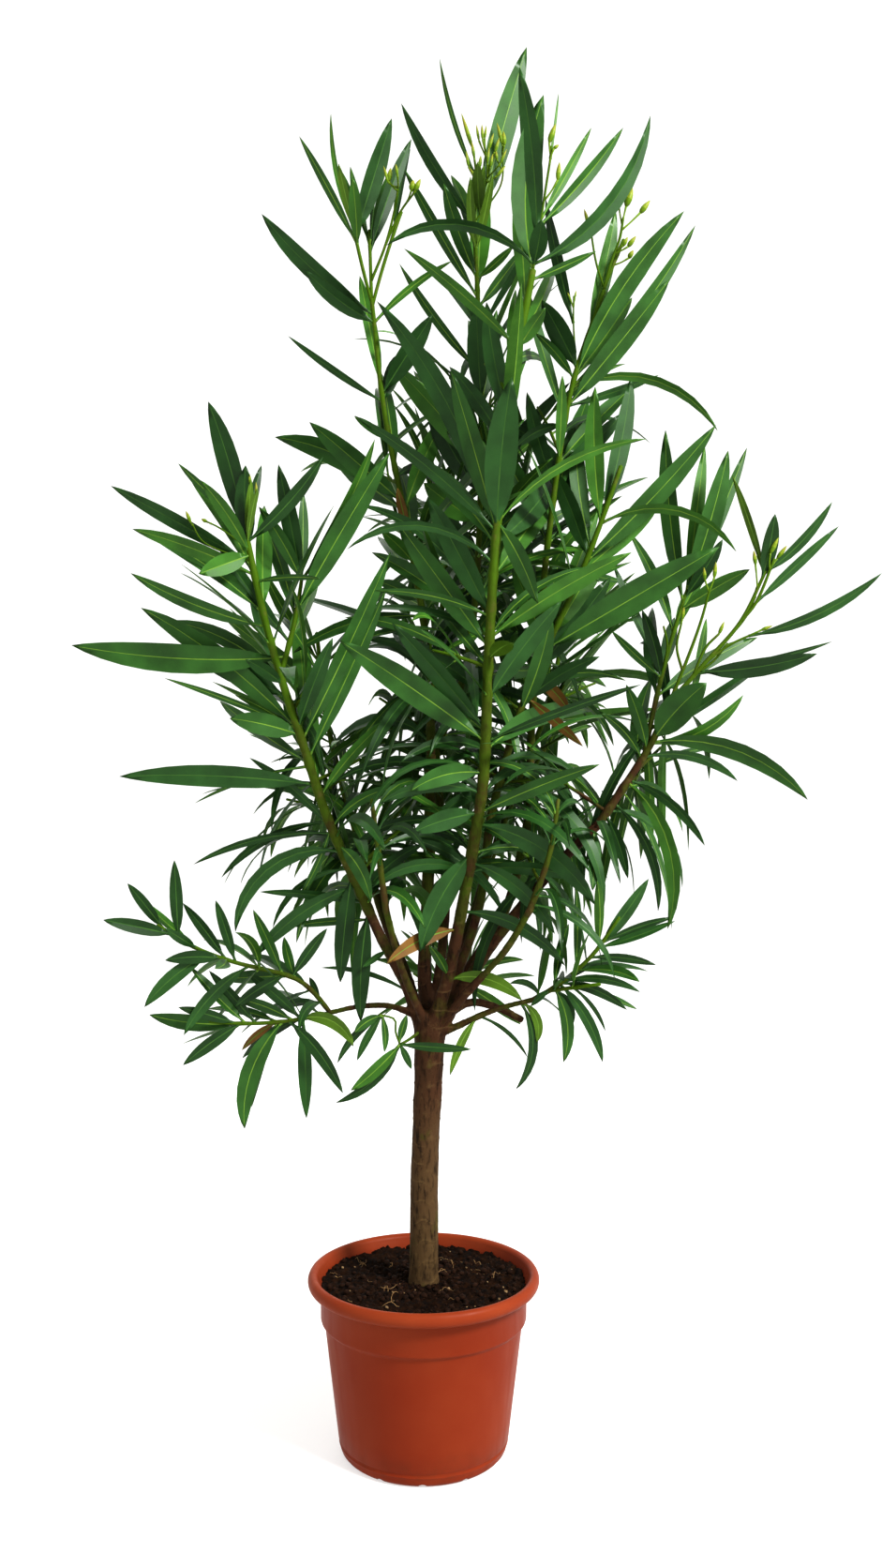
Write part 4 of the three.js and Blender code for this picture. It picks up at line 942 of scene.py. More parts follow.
class Picture:
    """What the picture shows: where the background is, and which leaves and stems are in front.

    It is a coarse grid over the picture that holds, for each cell, how deep the first thing that shows is.
    """

    def __init__(self) -> None:
        """Marks the background, outside the crown's outline and in its gaps."""
        wide, high = (size // CELL + 1 for size in PICTURE)
        across, down = (np.arange(size) * CELL + CELL / 2 for size in (wide, high))
        u, v = np.meshgrid(across, down, indexing="ij")
        within = np.zeros((wide, high), bool)
        for (ua, va), (ub, vb) in zip(OUTLINE, (*OUTLINE[1:], OUTLINE[0])):
            if va != vb:
                within ^= ((va > v) != (vb > v)) & (u < ua + (ub - ua) * (v - va) / (vb - va))
        self.sky = ~within
        for x, y, half_x, half_y in GAPS:
            self.sky |= ((u - x) / half_x) ** 2 + ((v - y) / half_y) ** 2 < 1
        self.front = np.full((wide, high), np.inf)

    def cells(self, points: np.ndarray) -> tuple[np.ndarray, np.ndarray, np.ndarray]:
        """Finds where points show.

        Args:
            points: the points, in millimetres.

        Returns:
            Their cells, across and down, and how deep they lie.
        """
        off = points - np.array(EYE[:])
        u = PICTURE[0] / 2 + off[:, 0] / off[:, 1] * FOCUS
        v = PICTURE[1] / 2 - off[:, 2] / off[:, 1] * FOCUS
        place = [np.clip((c / CELL).astype(int), 0, size - 1) for c, size in zip((u, v), self.front.shape)]
        return place[0], place[1], off[:, 1]

    def mark(self, points: np.ndarray) -> None:
        """Notes a surface that has to show, by many points on it."""
        u, v, depth = self.cells(points)
        np.minimum.at(self.front, (u, v), depth)

    def suits(self, points: np.ndarray) -> bool:
        """Says whether a surface keeps off the background and hides little that has to show.

        Args:
            points: many points on it, in millimetres.

        Returns:
            True if it does.
        """
        u, v, depth = self.cells(points)
        front = self.front[u, v]
        hiding = np.isfinite(front) & (depth < front - NEARER)
        return self.sky[u, v].mean() <= STRAYING and hiding.mean() <= HIDING


# Meshes and materials


def linear(code: str) -> tuple[float, float, float, float]:
    """Returns a colour written as RRGGBB in the linear values that materials take."""
    parts = [int(code[i : i + 2], 16) / 255 for i in (0, 2, 4)]
    return (*(c / 12.92 if c <= 0.04045 else ((c + 0.055) / 1.055) ** 2.4 for c in parts), 1.0)


class Shading:
    """A material's nodes, with short calls for the ones that the finishes share."""

    def __init__(self, name: str) -> None:
        """Makes an empty principled material.

        Args:
            name: the material's name.
        """
        self.material = bpy.data.materials.new(name)
        self.material.use_nodes = True
        self.tree = self.material.node_tree
        self.shader = self.tree.nodes["Principled BSDF"]
        self.place = self.tree.nodes.new("ShaderNodeTexCoord").outputs["Object"]

    def put(self, socket: Socket, value: Socket | str | float | tuple) -> None:
        """Feeds a socket.

        Args:
            socket: the socket.
            value: a socket to link it to, a colour written as RRGGBB, or a plain value.
        """
        if isinstance(value, Socket):
            self.tree.links.new(value, socket)
        else:
            socket.default_value = linear(value) if isinstance(value, str) else value

    def set(self, node: bpy.types.Node | None = None, **values: Socket | str | float | tuple) -> None:
        """Feeds inputs of a node.

        Args:
            node: the node, or None for the shader.
            values: what each input gets; an underscore in a name stands for a space.
        """
        for name, value in values.items():
            self.put((node or self.shader).inputs[name.replace("_", " ")], value)

    def node(self, kind: str, output: str, **values: Socket | float | tuple) -> Socket:
        """Adds a node.

        Args:
            kind: Blender's name for it, after ShaderNode.
            output: the output that is wanted.
            values: what its inputs get.

        Returns:
            The output.
        """
        made = self.tree.nodes.new("ShaderNode" + kind)
        self.set(made, **values)
        return made.outputs[output]

    def height(self) -> Socket:
        """Returns the height on the object."""
        return self.node("SeparateXYZ", "Z", Vector=self.place)

    def stretched(self, scale: Triple) -> Socket:
        """Returns the place on the object, scaled along each axis."""
        return self.node("Mapping", "Vector", Vector=self.place, Scale=scale)

    def attribute(self, name: str) -> Socket:
        """Reads a value that the piece's points carry.

        Args:
            name: the value's name.

        Returns:
            The value.
        """
        value = self.node("Attribute", "Fac")
        value.node.attribute_name = name
        return value

    def noise(self, scale: float, detail: float = 4.0, rough: float = 0.5, place: Socket | None = None) -> Socket:
        """Reads a noise.

        Args:
            scale: how many of its lumps fit in a metre.
            detail: how many finer layers it has.
            rough: how strong those layers are.
            place: where it is read, or None for the plain place.

        Returns:
            The noise's value, around 0.5.
        """
        place = place or self.place
        return self.node("TexNoise", "Fac", Vector=place, Scale=scale, Detail=detail, Roughness=rough)

    def sum(self, kind: str, first: Socket | float, second: Socket | float) -> Socket:
        """Works out a sum of two values.

        Args:
            kind: Blender's name for the sum.
            first: the first value, a socket or a number.
            second: the second value, a socket or a number.

        Returns:
            The result.
        """
        result = self.node("Math", "Value")
        result.node.operation = kind
        for socket, value in zip(result.node.inputs, (first, second)):
            self.put(socket, value)
        return result

    def spread(self, source: Socket, low: float, high: float, to: Pair = (0.0, 1.0)) -> Socket:
        """Stretches a value and clips it to a range.

        Args:
            source: the value.
            low: what becomes the range's start.
            high: what becomes its end.
            to: the range.

        Returns:
            The new value.
        """
        limits = {"From_Min": low, "From_Max": high, "To_Min": to[0], "To_Max": to[1]}
        return self.node("MapRange", "Result", Value=source, **limits)

    def mix(self, share: Socket, first: Socket | str | tuple, second: Socket | str | tuple) -> Socket:
        """Mixes two colours.

        Args:
            share: how much of the second shows.
            first: the first colour.
            second: the second colour.

        Returns:
            The mixed colour.
        """
        node = self.tree.nodes.new("ShaderNodeMix")
        node.data_type = "RGBA"
        self.put(next(s for s in node.inputs if s.name == "Factor" and s.type == "VALUE"), share)
        for socket, value in zip([s for s in node.inputs if s.type == "RGBA"], (first, second)):
            self.put(socket, value)
        return next(s for s in node.outputs if s.type == "RGBA")

    def bump(self, height: Socket, strength: float, depth: float) -> None:
        """Feeds the shader's normal from a height.

        Args:
            height: the height, from 0 to 1.
            strength: how strong the relief is.
            depth: how deep it is, in millimetres.
        """
        self.set(Normal=self.node("Bump", "Normal", Height=height, Strength=strength, Distance=depth * MM))


@dataclass(frozen=True)
class LeafFinish:
    """Leathery leaf: one green with soft clouds, small paler spots and a fine grain."""

    name: str
    colour: str
    rough: float = 0.4
    shade: Pair = (0.74, 1.3)
    gloss: float = 0.24

    def make(self) -> Material:
        """Returns the material."""
        nodes = Shading(self.name)
        base = linear(self.colour)[:3]
        shadow, light = ((*(min(1.0, c * by) for c in base), 1.0) for by in self.shade)
        clouds = nodes.spread(nodes.noise(38.0, 3.0), 0.3, 0.7)
        spots = nodes.spread(nodes.noise(420.0, 2.0), 0.62, 0.8, (0.0, 0.35))
        nodes.bump(nodes.noise(900.0, 2.0), 0.12, 0.3)
        nodes.set(
            Base_Color=nodes.mix(spots, nodes.mix(clouds, shadow, light), light),
            Roughness=nodes.spread(clouds, 0.0, 1.0, (self.rough - 0.05, self.rough + 0.1)),
            Specular_IOR_Level=self.gloss,
        )
        return nodes.material


@dataclass(frozen=True)
class BarkFinish:
    """Bark of trunk and boughs, with pale leaf scars and green young wood.

    Attributes:
        foot: colour near the soil.
        upper: colour at the fork.
        olive: colour of half-grown wood.
        fresh: colour of this year's stems.
        scar: colour of the scars.
        dark: colour in the cracks.
    """

    name: str
    foot: str
    upper: str
    olive: str
    fresh: str
    scar: str
    dark: str
    gloss: float = 0.12

    def make(self) -> Material:
        """Returns the material."""
        nodes = Shading(self.name)
        drift = nodes.spread(nodes.noise(28.0, 3.0), 0.3, 0.7, (-0.03, 0.03))
        blurred = nodes.sum("ADD", nodes.height(), drift)
        trunk = nodes.mix(nodes.spread(blurred, 0.18, 0.34), self.foot, self.upper)

        youth = nodes.attribute("youth")
        patches = nodes.spread(nodes.noise(45.0, 4.0, 0.6), 0.35, 0.65, (-0.3, 0.3))
        half = nodes.mix(nodes.spread(nodes.sum("ADD", youth, patches), 0.15, 0.5), trunk, self.olive)
        faint = nodes.sum("MULTIPLY", patches, 0.35)
        grown = nodes.mix(nodes.spread(nodes.sum("ADD", youth, faint), 0.5, 0.85), half, self.fresh)

        grain = nodes.noise(260.0, 5.0, 0.65, nodes.stretched((1.0, 1.0, 0.3)))
        mark_weight = nodes.sum("SUBTRACT", 1.0, youth)
        cracks = nodes.sum("MULTIPLY", nodes.spread(grain, 0.5, 0.68, (0.0, 0.85)), mark_weight)
        dappled = nodes.mix(cracks, grown, self.dark)
        pale_patches = nodes.spread(nodes.noise(95.0, 4.0, 0.6), 0.56, 0.75, (0.0, 0.4))
        scars = nodes.spread(nodes.attribute("scar"), 0.2, 1.0, (0.0, 0.5))
        nodes.bump(grain, 0.55, 0.8)
        nodes.set(
            Base_Color=nodes.mix(scars, nodes.mix(pale_patches, dappled, self.scar), self.scar),
            Roughness=nodes.spread(grain, 0.3, 0.7, (0.62, 0.82)),
            Specular_IOR_Level=self.gloss,
        )
        return nodes.material


@dataclass(frozen=True)
class PlasticFinish:
    """Moulded plastic of the pot: satin, faintly streaked, with a painted highlight on the lip and dusty low down.

    Attributes:
        pale: colour of its pale clouds and of the painted highlight on the lip.
        dusty: colour of dried soil on it.
        rim: height of the rim's foot, in metres, above which the lip is painted paler as a highlight.
        splash: how high the dust reaches, in metres.
    """

    name: str
    colour: str
    pale: str
    dusty: str
    rim: float
    splash: float = 0.035
    gloss: float = 0.08

    def make(self) -> Material:
        """Returns the material."""
        nodes = Shading(self.name)
        height = nodes.height()
        clouds = nodes.spread(nodes.noise(14.0, 4.0), 0.35, 0.65, (0.0, 0.3))
        body = nodes.mix(clouds, self.colour, self.pale)
        # Painted highlight: from the rim's foot up, the lip is painted paler, in patches.
        mark_weight = nodes.spread(nodes.noise(30.0, 5.0), 0.3, 0.7, (0.25, 0.6))
        pale_patches = nodes.sum("MULTIPLY", nodes.spread(height, self.rim, self.rim + 0.008), mark_weight)
        dust = nodes.spread(nodes.noise(70.0, 5.0, 0.6), 0.45, 0.75, (0.0, 0.5))
        low = nodes.sum("MULTIPLY", nodes.spread(height, self.splash, 0.0), dust)
        streaks = nodes.noise(120.0, 3.0, 0.5, nodes.stretched((1.0, 1.0, 0.12)))
        nodes.bump(nodes.noise(2200.0, 2.0), 0.12, 0.15)
        nodes.set(
            Base_Color=nodes.mix(low, nodes.mix(pale_patches, body, self.pale), self.dusty),
            Roughness=nodes.spread(streaks, 0.3, 0.7, (0.36, 0.5)),
            Specular_IOR_Level=self.gloss,
        )
        return nodes.material


@dataclass(frozen=True)
class EarthFinish:
    """Moist crumbly earth: painted shade in the hollows of its relief, paler tops on its lumps, and bits of fibre."""

    name: str
    dark: str
    pale: str
    bits: str
    gloss: float = 0.08

    def make(self) -> Material:
        """Returns the material."""
        nodes = Shading(self.name)
        lumps = nodes.noise(160.0, 6.0, 0.7)
        # Painted shade: where the bump relief is low the earth gets the dark colour, on its lumps the pale one.
        earth = nodes.mix(nodes.spread(lumps, 0.4, 0.68), self.dark, self.pale)
        shreds = nodes.noise(520.0, 3.0, 0.6, nodes.stretched((1.0, 0.35, 1.0)))
        nodes.bump(lumps, 0.9, 1.6)
        nodes.set(
            Base_Color=nodes.mix(nodes.spread(shreds, 0.66, 0.76, (0.0, 0.6)), earth, self.bits),
            Roughness=nodes.spread(lumps, 0.3, 0.7, (0.68, 0.95)),
            Specular_IOR_Level=self.gloss,
        )
        return nodes.material


@dataclass(frozen=True)
class PlainFinish:
    """A small thing's finish: one colour clouded with a second; scale is how many clouds fit in a metre."""

    name: str
    colour: str
    second: str
    rough: float = 0.6
    scale: float = 180.0
    gloss: float = 0.15

    def make(self) -> Material:
        """Returns the material."""
        nodes = Shading(self.name)
        clouds = nodes.noise(self.scale, 4.0, 0.6)
        nodes.bump(nodes.noise(self.scale * 5, 3.0), 0.25, 0.3)
        nodes.set(
            Base_Color=nodes.mix(nodes.spread(clouds, 0.35, 0.65), self.colour, self.second),
            Roughness=nodes.spread(clouds, 0.3, 0.7, (self.rough - 0.06, self.rough + 0.06)),
            Specular_IOR_Level=self.gloss,
        )
        return nodes.material


# Meshes from repeated shapes


class Heap:
    """Many small shapes gathered into one mesh."""

    def __init__(self) -> None:
        """Starts empty."""
        self.corners: list[np.ndarray] = []
        self.faces: list[np.ndarray] = []
        self.slots: list[np.ndarray] = []
        self.lines: list[np.ndarray] = []
        self.values: dict[str, list[np.ndarray]] = {}
        self.count = 0

    def add(
        self,
        form: "Form",
        corners: np.ndarray,
        slots: int | np.ndarray = 0,
        lines: np.ndarray | None = None,
        **values: np.ndarray,
    ) -> None:
        """Adds one shape.

        Args:
            form: the shape whose faces it has.
            corners: where its points lie, one row each.
            slots: the material slot of its faces.
            lines: which crease each point lies on, or None; an edge along one is sharp.
            values: other values for each point, by name.
        """
        self.corners.append(corners)
        self.faces += [[self.count + i for i in face] for face in form.faces]
        self.slots.append(np.broadcast_to(slots, len(form.faces)))
        if lines is not None:
            self.lines.append(lines)
        for name, value in values.items():
            self.values.setdefault(name, []).append(np.broadcast_to(value, len(corners)))
        self.count += len(corners)

    def cut_back(self, shapes: int) -> None:
        """Takes away the last shapes.

        Args:
            shapes: how many stay.
        """
        for parts in (self.corners, self.slots, self.lines, *self.values.values()):
            del parts[shapes:]
        self.count = sum(len(corners) for corners in self.corners)
        self.faces = self.faces[: sum(len(slots) for slots in self.slots)]

    def piece(self, name: str, materials: list[Material]) -> Piece:
        """Makes the mesh and its object.

        Args:
            name: the object's name.
            materials: its material slots, in order.

        Returns:
            The object, at the origin.
        """
        mesh = bpy.data.meshes.new(name)
        mesh.from_pydata(np.vstack(self.corners).tolist(), [], self.faces)
        mesh.polygons.foreach_set("material_index", np.concatenate(self.slots).astype(np.int32))
        if self.lines:
            ends = np.zeros(len(mesh.edges) * 2, np.int32)
            mesh.edges.foreach_get("vertices", ends)
            line_of = np.concatenate(self.lines)[ends.reshape(-1, 2)]
            sharp = (line_of[:, 0] == line_of[:, 1]) & (line_of[:, 0] >= 0)
            mesh.attributes.new("sharp_edge", "BOOLEAN", "EDGE").data.foreach_set("value", sharp)
        for key, parts in self.values.items():
            note(mesh, key, np.concatenate(parts))
        return placed(name, mesh, materials)


def note(mesh: Mesh, name: str, values: np.ndarray) -> None:
    """Writes a value for each point of a mesh, which its material reads by name."""
    mesh.attributes.new(name, "FLOAT", "POINT").data.foreach_set("value", values.astype(np.float32))


def placed(name: str, mesh: Mesh, materials: list[Material]) -> Piece:
    """Puts a mesh, shaded smooth, in the scene at the origin.

    Args:
        name: the object's name.
        mesh: its mesh.
        materials: its material slots, in order.

    Returns:
        The object.
    """
    mesh.polygons.foreach_set("use_smooth", np.ones(len(mesh.polygons), bool))
    for material in materials:
        mesh.materials.append(material)
    piece = bpy.data.objects.new(name, mesh)
    bpy.context.scene.collection.objects.link(piece)
    return piece


def drawn(name: str, bm: bmesh.types.BMesh, materials: list[Material]) -> Piece:
    """Puts a finished bmesh in the scene and frees it.

    Args:
        name: the object's name.
        bm: its shape.
        materials: its material slots, in order.

    Returns:
        The object.
    """
    mesh = bpy.data.meshes.new(name)
    bm.to_mesh(mesh)
    bm.free()
    return placed(name, mesh, materials)


def baked(piece: Piece) -> Mesh:
    """Applies a piece's modifiers and takes the piece away.

    Args:
        piece: the piece.

    Returns:
        Its mesh.
    """
    mesh = bpy.data.meshes.new_from_object(piece.evaluated_get(bpy.context.evaluated_depsgraph_get()))
    bpy.data.objects.remove(piece)
    return mesh


class Form:
    """A small closed shape that is laid out many times: its points and its faces."""

    def __init__(self, bm: bmesh.types.BMesh) -> None:
        """Reads a finished bmesh and frees it.

        Args:
            bm: the shape.
        """
        bmesh.ops.recalc_face_normals(bm, faces=bm.faces)
        bm.verts.index_update()
        self.points = np.array([v.co[:] for v in bm.verts])
        self.faces = [[v.index for v in face.verts] for face in bm.faces]
        bm.free()

    @classmethod
    def tube(cls, sides: int, rings: int, pointed: bool = False) -> "Form":
        """Returns a closed tube of radius 1 along Z, with its rings at heights 0, 1, 2 and so on.

        Args:
            sides: how many sides it has.
            rings: how many rings it has.
            pointed: whether its last ring is one point.

        Returns:
            The tube.
        """
        bm = bmesh.new()
        bmesh.ops.create_circle(bm, cap_ends=True, segments=sides, radius=1.0)
        edges = list(bm.edges)
        for _ in range(rings - 1):
            grown = bmesh.ops.extrude_edge_only(bm, edges=edges)["geom"]
            ring = [part for part in grown if isinstance(part, bmesh.types.BMVert)]
            edges = [part for part in grown if isinstance(part, bmesh.types.BMEdge)]
            edges = [edge for edge in edges if all(v in ring for v in edge.verts)]
            bmesh.ops.translate(bm, verts=ring, vec=UP)
        if pointed:
            bmesh.ops.pointmerge(bm, verts=ring, merge_co=UP * (rings - 1))
        else:
            bmesh.ops.contextual_create(bm, geom=edges)
        return cls(bm)

    @classmethod
    def crumb(cls, detail: int, dice: Dice, rough: float) -> "Form":
        """Returns an uneven lump of radius about 1.

        Args:
            detail: how often its faces are divided.
            dice: where its unevenness comes from.
            rough: how uneven it is.

        Returns:
            The lump.
        """
        bm = bmesh.new()
        lump = bmesh.ops.create_icosphere(bm, subdivisions=detail, radius=1.0)["verts"]
        for corner in lump:
            corner.co *= 1 + dice.about(rough)
        bmesh.ops.scale(bm, verts=lump, vec=(1.0, dice.between(0.6, 1.0), dice.between(0.5, 0.85)))
        return cls(bm)


TUBES: dict[tuple[int, int, bool], Form] = {}


def tube(sides: int, rings: int, pointed: bool = False) -> Form:
    """Gives a tube's form, made the first time that it is asked for.

    Args:
        sides: how many sides it has.
        rings: how many rings it has.
        pointed: whether its last ring is one point.

    Returns:
        The tube.
    """
    key = (sides, rings, pointed)
    if key not in TUBES:
        TUBES[key] = Form.tube(*key)
    return TUBES[key]


def along_path(form: Form, points: list[Vector], radii: list[float]) -> np.ndarray:
    """Lays a tube's rings along a line without letting it twist.

    Args:
        form: a tube with as many rings as there are points.
        points: the line, in millimetres.
        radii: its radius at each point.

    Returns:
        The tube's points, in metres.
    """
    steps = [(after - before).normalized() for before, after in zip(points, points[1:])]
    headings = [steps[0], *((a + b).normalized() for a, b in zip(steps, steps[1:])), steps[-1]]
    side = headings[0].orthogonal().normalized()
    sides = []
    for heading in headings:
        side = (side - heading * side.dot(heading)).normalized()
        sides.append(side)
    firsts = np.array([s[:] for s in sides])
    seconds = np.array([h.cross(s)[:] for h, s in zip(headings, sides)])
    ring = form.points[:, 2].round().astype(int)
    reach = np.array(radii)[ring][:, None]
    centres = np.array([p[:] for p in points])[ring]
    spread = form.points[:, :1] * firsts[ring] + form.points[:, 1:2] * seconds[ring]
    return (centres + spread * reach) * MM


# The crown


# The leaf piece's material slots after those of its tones
MIDRIB, UNDERSIDE, OLD_MIDRIB = (len(Tone) + i for i in range(3))


@dataclass(frozen=True)
class LeafForm:
    """The leaf: a closed six-sided blade from its petiole's root to its pointed tip.

    Attributes:
        stations: shares of its length at which its rings stand.
        widths: its half-width there over its greatest, past the petiole.
        blade_from: number of the ring at which the blade starts.
        petiole: half-width and half-thickness of its petiole.
        rib: half-width of its midrib at the blade's start and at its tip.
        rib_most: its greatest half-width, as a share of the blade's and what the foot has more.
        top: how far the midrib stands over the blade's middle plane.
        keel: how far it stands under it.
    """

    stations: tuple[float, ...] = (0.0, 0.04, 0.09, 0.18, 0.29, 0.41, 0.53, 0.65, 0.76, 0.86, 0.94, 1.0)
    widths: tuple[float, ...] = (0.0, 0.0, 0.26, 0.62, 0.87, 0.98, 1.0, 0.93, 0.78, 0.55, 0.28, 0.0)
    blade_from: int = 2
    petiole: Pair = (1.35, 0.95)
    rib: Pair = (0.62, 0.18)
    rib_most: Pair = (0.09, 0.12)
    top: float = 0.26
    keel: float = 0.55

    @property
    def form(self) -> Form:
        """Returns the blade's points and faces, its edges to either side along Y."""
        return tube(6, len(self.stations), pointed=True)

    def place(self, leaf: Leaf) -> np.ndarray:
        """Lays the blade along a leaf's line.

        Args:
            leaf: the leaf.

        Returns:
            Its points, in metres.
        """
        at = np.array(self.stations)
        arc = Arc(leaf.root, leaf.bearing, leaf.rise, leaf.length, leaf.bow)
        spine = np.array([arc.point(s)[:] for s in self.stations])
        heading = np.array([arc.direction(s)[:] for s in self.stations])
        turn = math.radians(leaf.bearing)
        level = np.array([math.sin(turn), -math.cos(turn), 0.0])
        over = np.cross(level[None, :], heading)
        roll = np.radians(leaf.roll + leaf.twist * at)[:, None]
        side = level * np.cos(roll) + over * np.sin(roll)
        face = over * np.cos(roll) - level * np.sin(roll)
        spine = spine + side * (leaf.sickle * leaf.length * 4 * at * (1 - at))[:, None]

        half = np.maximum(np.array(self.widths) * leaf.width / 2, self.petiole[0] * (1 - at) + 0.02)
        slim = half * self.rib_most[0] + self.rib_most[1] * (1 - at)
        rib = np.minimum(self.rib[0] * (1 - at) + self.rib[1] * at, slim)
        stalk = at < self.stations[self.blade_from]
        top = np.where(stalk, self.petiole[1], self.top)
        keel = np.where(stalk, self.petiole[1], self.keel * (1 - 0.7 * at))
        fold = np.radians(np.where(stalk, 0.0, leaf.fold))

        ring = self.form.points[:, 2].round().astype(int)
        edge = np.abs(self.form.points[:, 1]) > 0.9
        tip = np.hypot(self.form.points[:, 0], self.form.points[:, 1]) < 0.1
        across = np.sign(self.form.points[:, 1]) * np.where(edge, half[ring] * np.cos(fold)[ring], rib[ring])
        middle = np.where(self.form.points[:, 0] > 0, top[ring], -keel[ring])
        lift = np.where(edge, half[ring] * np.sin(fold)[ring], middle)
        across, lift = np.where(tip, 0.0, across)[:, None], np.where(tip, 0.0, lift)[:, None]
        return (spine[ring] + side[ring] * across + face[ring] * lift) * MM

    def slots(self, tone: Tone) -> np.ndarray:
        """Picks the material slot of each face.

        Args:
            tone: the leaf's tone.

        Returns:
            The slots' numbers.
        """
        found = []
        for face in self.form.faces:
            middle = self.form.points[face].mean(0)
            if middle[2] < self.blade_from - 0.9 or abs(middle[1]) < 0.3:
                found.append(OLD_MIDRIB if tone in (DEEP, DARK) else MIDRIB)
            else:
                found.append(UNDERSIDE if middle[0] < 0 else tone.value)
        return np.array(found)

    def creases(self) -> np.ndarray:
        """Returns which crease each point lies on: an edge of the blade or of its rib, or -1 on the petiole."""
        angle = np.round(np.degrees(np.arctan2(self.form.points[:, 1], self.form.points[:, 0])))
        return np.where(self.form.points[:, 2] > self.blade_from - 0.5, angle + 180, -1).astype(int)

    def blade(self) -> tuple[np.ndarray, list[tuple[int, ...]]]:
        """Returns the numbers of the points of the blade's upper side, and its faces among them."""
        rows = []
        for ring in range(self.blade_from, len(self.stations) - 1):
            row = np.nonzero((self.form.points[:, 2].round() == ring) & (self.form.points[:, 0] > -0.1))[0]
            rows.append(row[np.argsort(self.form.points[row, 1])])
        keep, width = np.concatenate(rows), len(rows[0])
        faces = [
            (a * width + b, a * width + b + 1, (a + 1) * width + b + 1, (a + 1) * width + b)
            for a in range(len(rows) - 1)
            for b in range(width - 1)
        ]
        return keep, faces

    def filled(self, blade: np.ndarray, along: int, across: int) -> np.ndarray:
        """Returns points all over the upper side of a leaf.

        Args:
            blade: the corners of its upper side, in metres.
            along: how many steps each of its lengths is divided into.
            across: how many steps each half's width is divided into.

        Returns:
            The points, in millimetres.
        """
        grid = blade.reshape(-1, 4, 3) / MM
        steps = np.linspace(0, len(grid) - 1, (len(grid) - 1) * along + 1)
        low = np.minimum(steps.astype(int), len(grid) - 2)
        share = (steps - low)[:, None, None]
        lines = grid[low] * (1 - share) + grid[low + 1] * share
        out = np.linspace(0, 1, across + 1)[None, :, None]
        halves = [lines[:, a : a + 1] * out + lines[:, b : b + 1] * (1 - out) for a, b in ((0, 1), (3, 2))]
        return np.concatenate(halves, 1).reshape(-1, 3)


def curl(dice: Dice, blade: dict) -> Triple:
    """Throws a blade's fold, twist and sickle."""
    return dice.between(*blade["fold"]), dice.about(blade["twist"]), dice.about(blade["sickle"])


def tones_at(at: float, old: bool, tip: float) -> tuple[Tone, ...]:
    """Gives the tones that a leaf may have.

    Args:
        at: share of its stem below it.
        old: whether it is an old leaf anyway.
        tip: share of the stem above which leaves are fresh.

    Returns:
        The tones, the likelier ones more than once.
    """
    if old or at < OLD_BELOW:
        return OLD_TONES
    return TIP_TONES if at > tip else GROWN_TONES


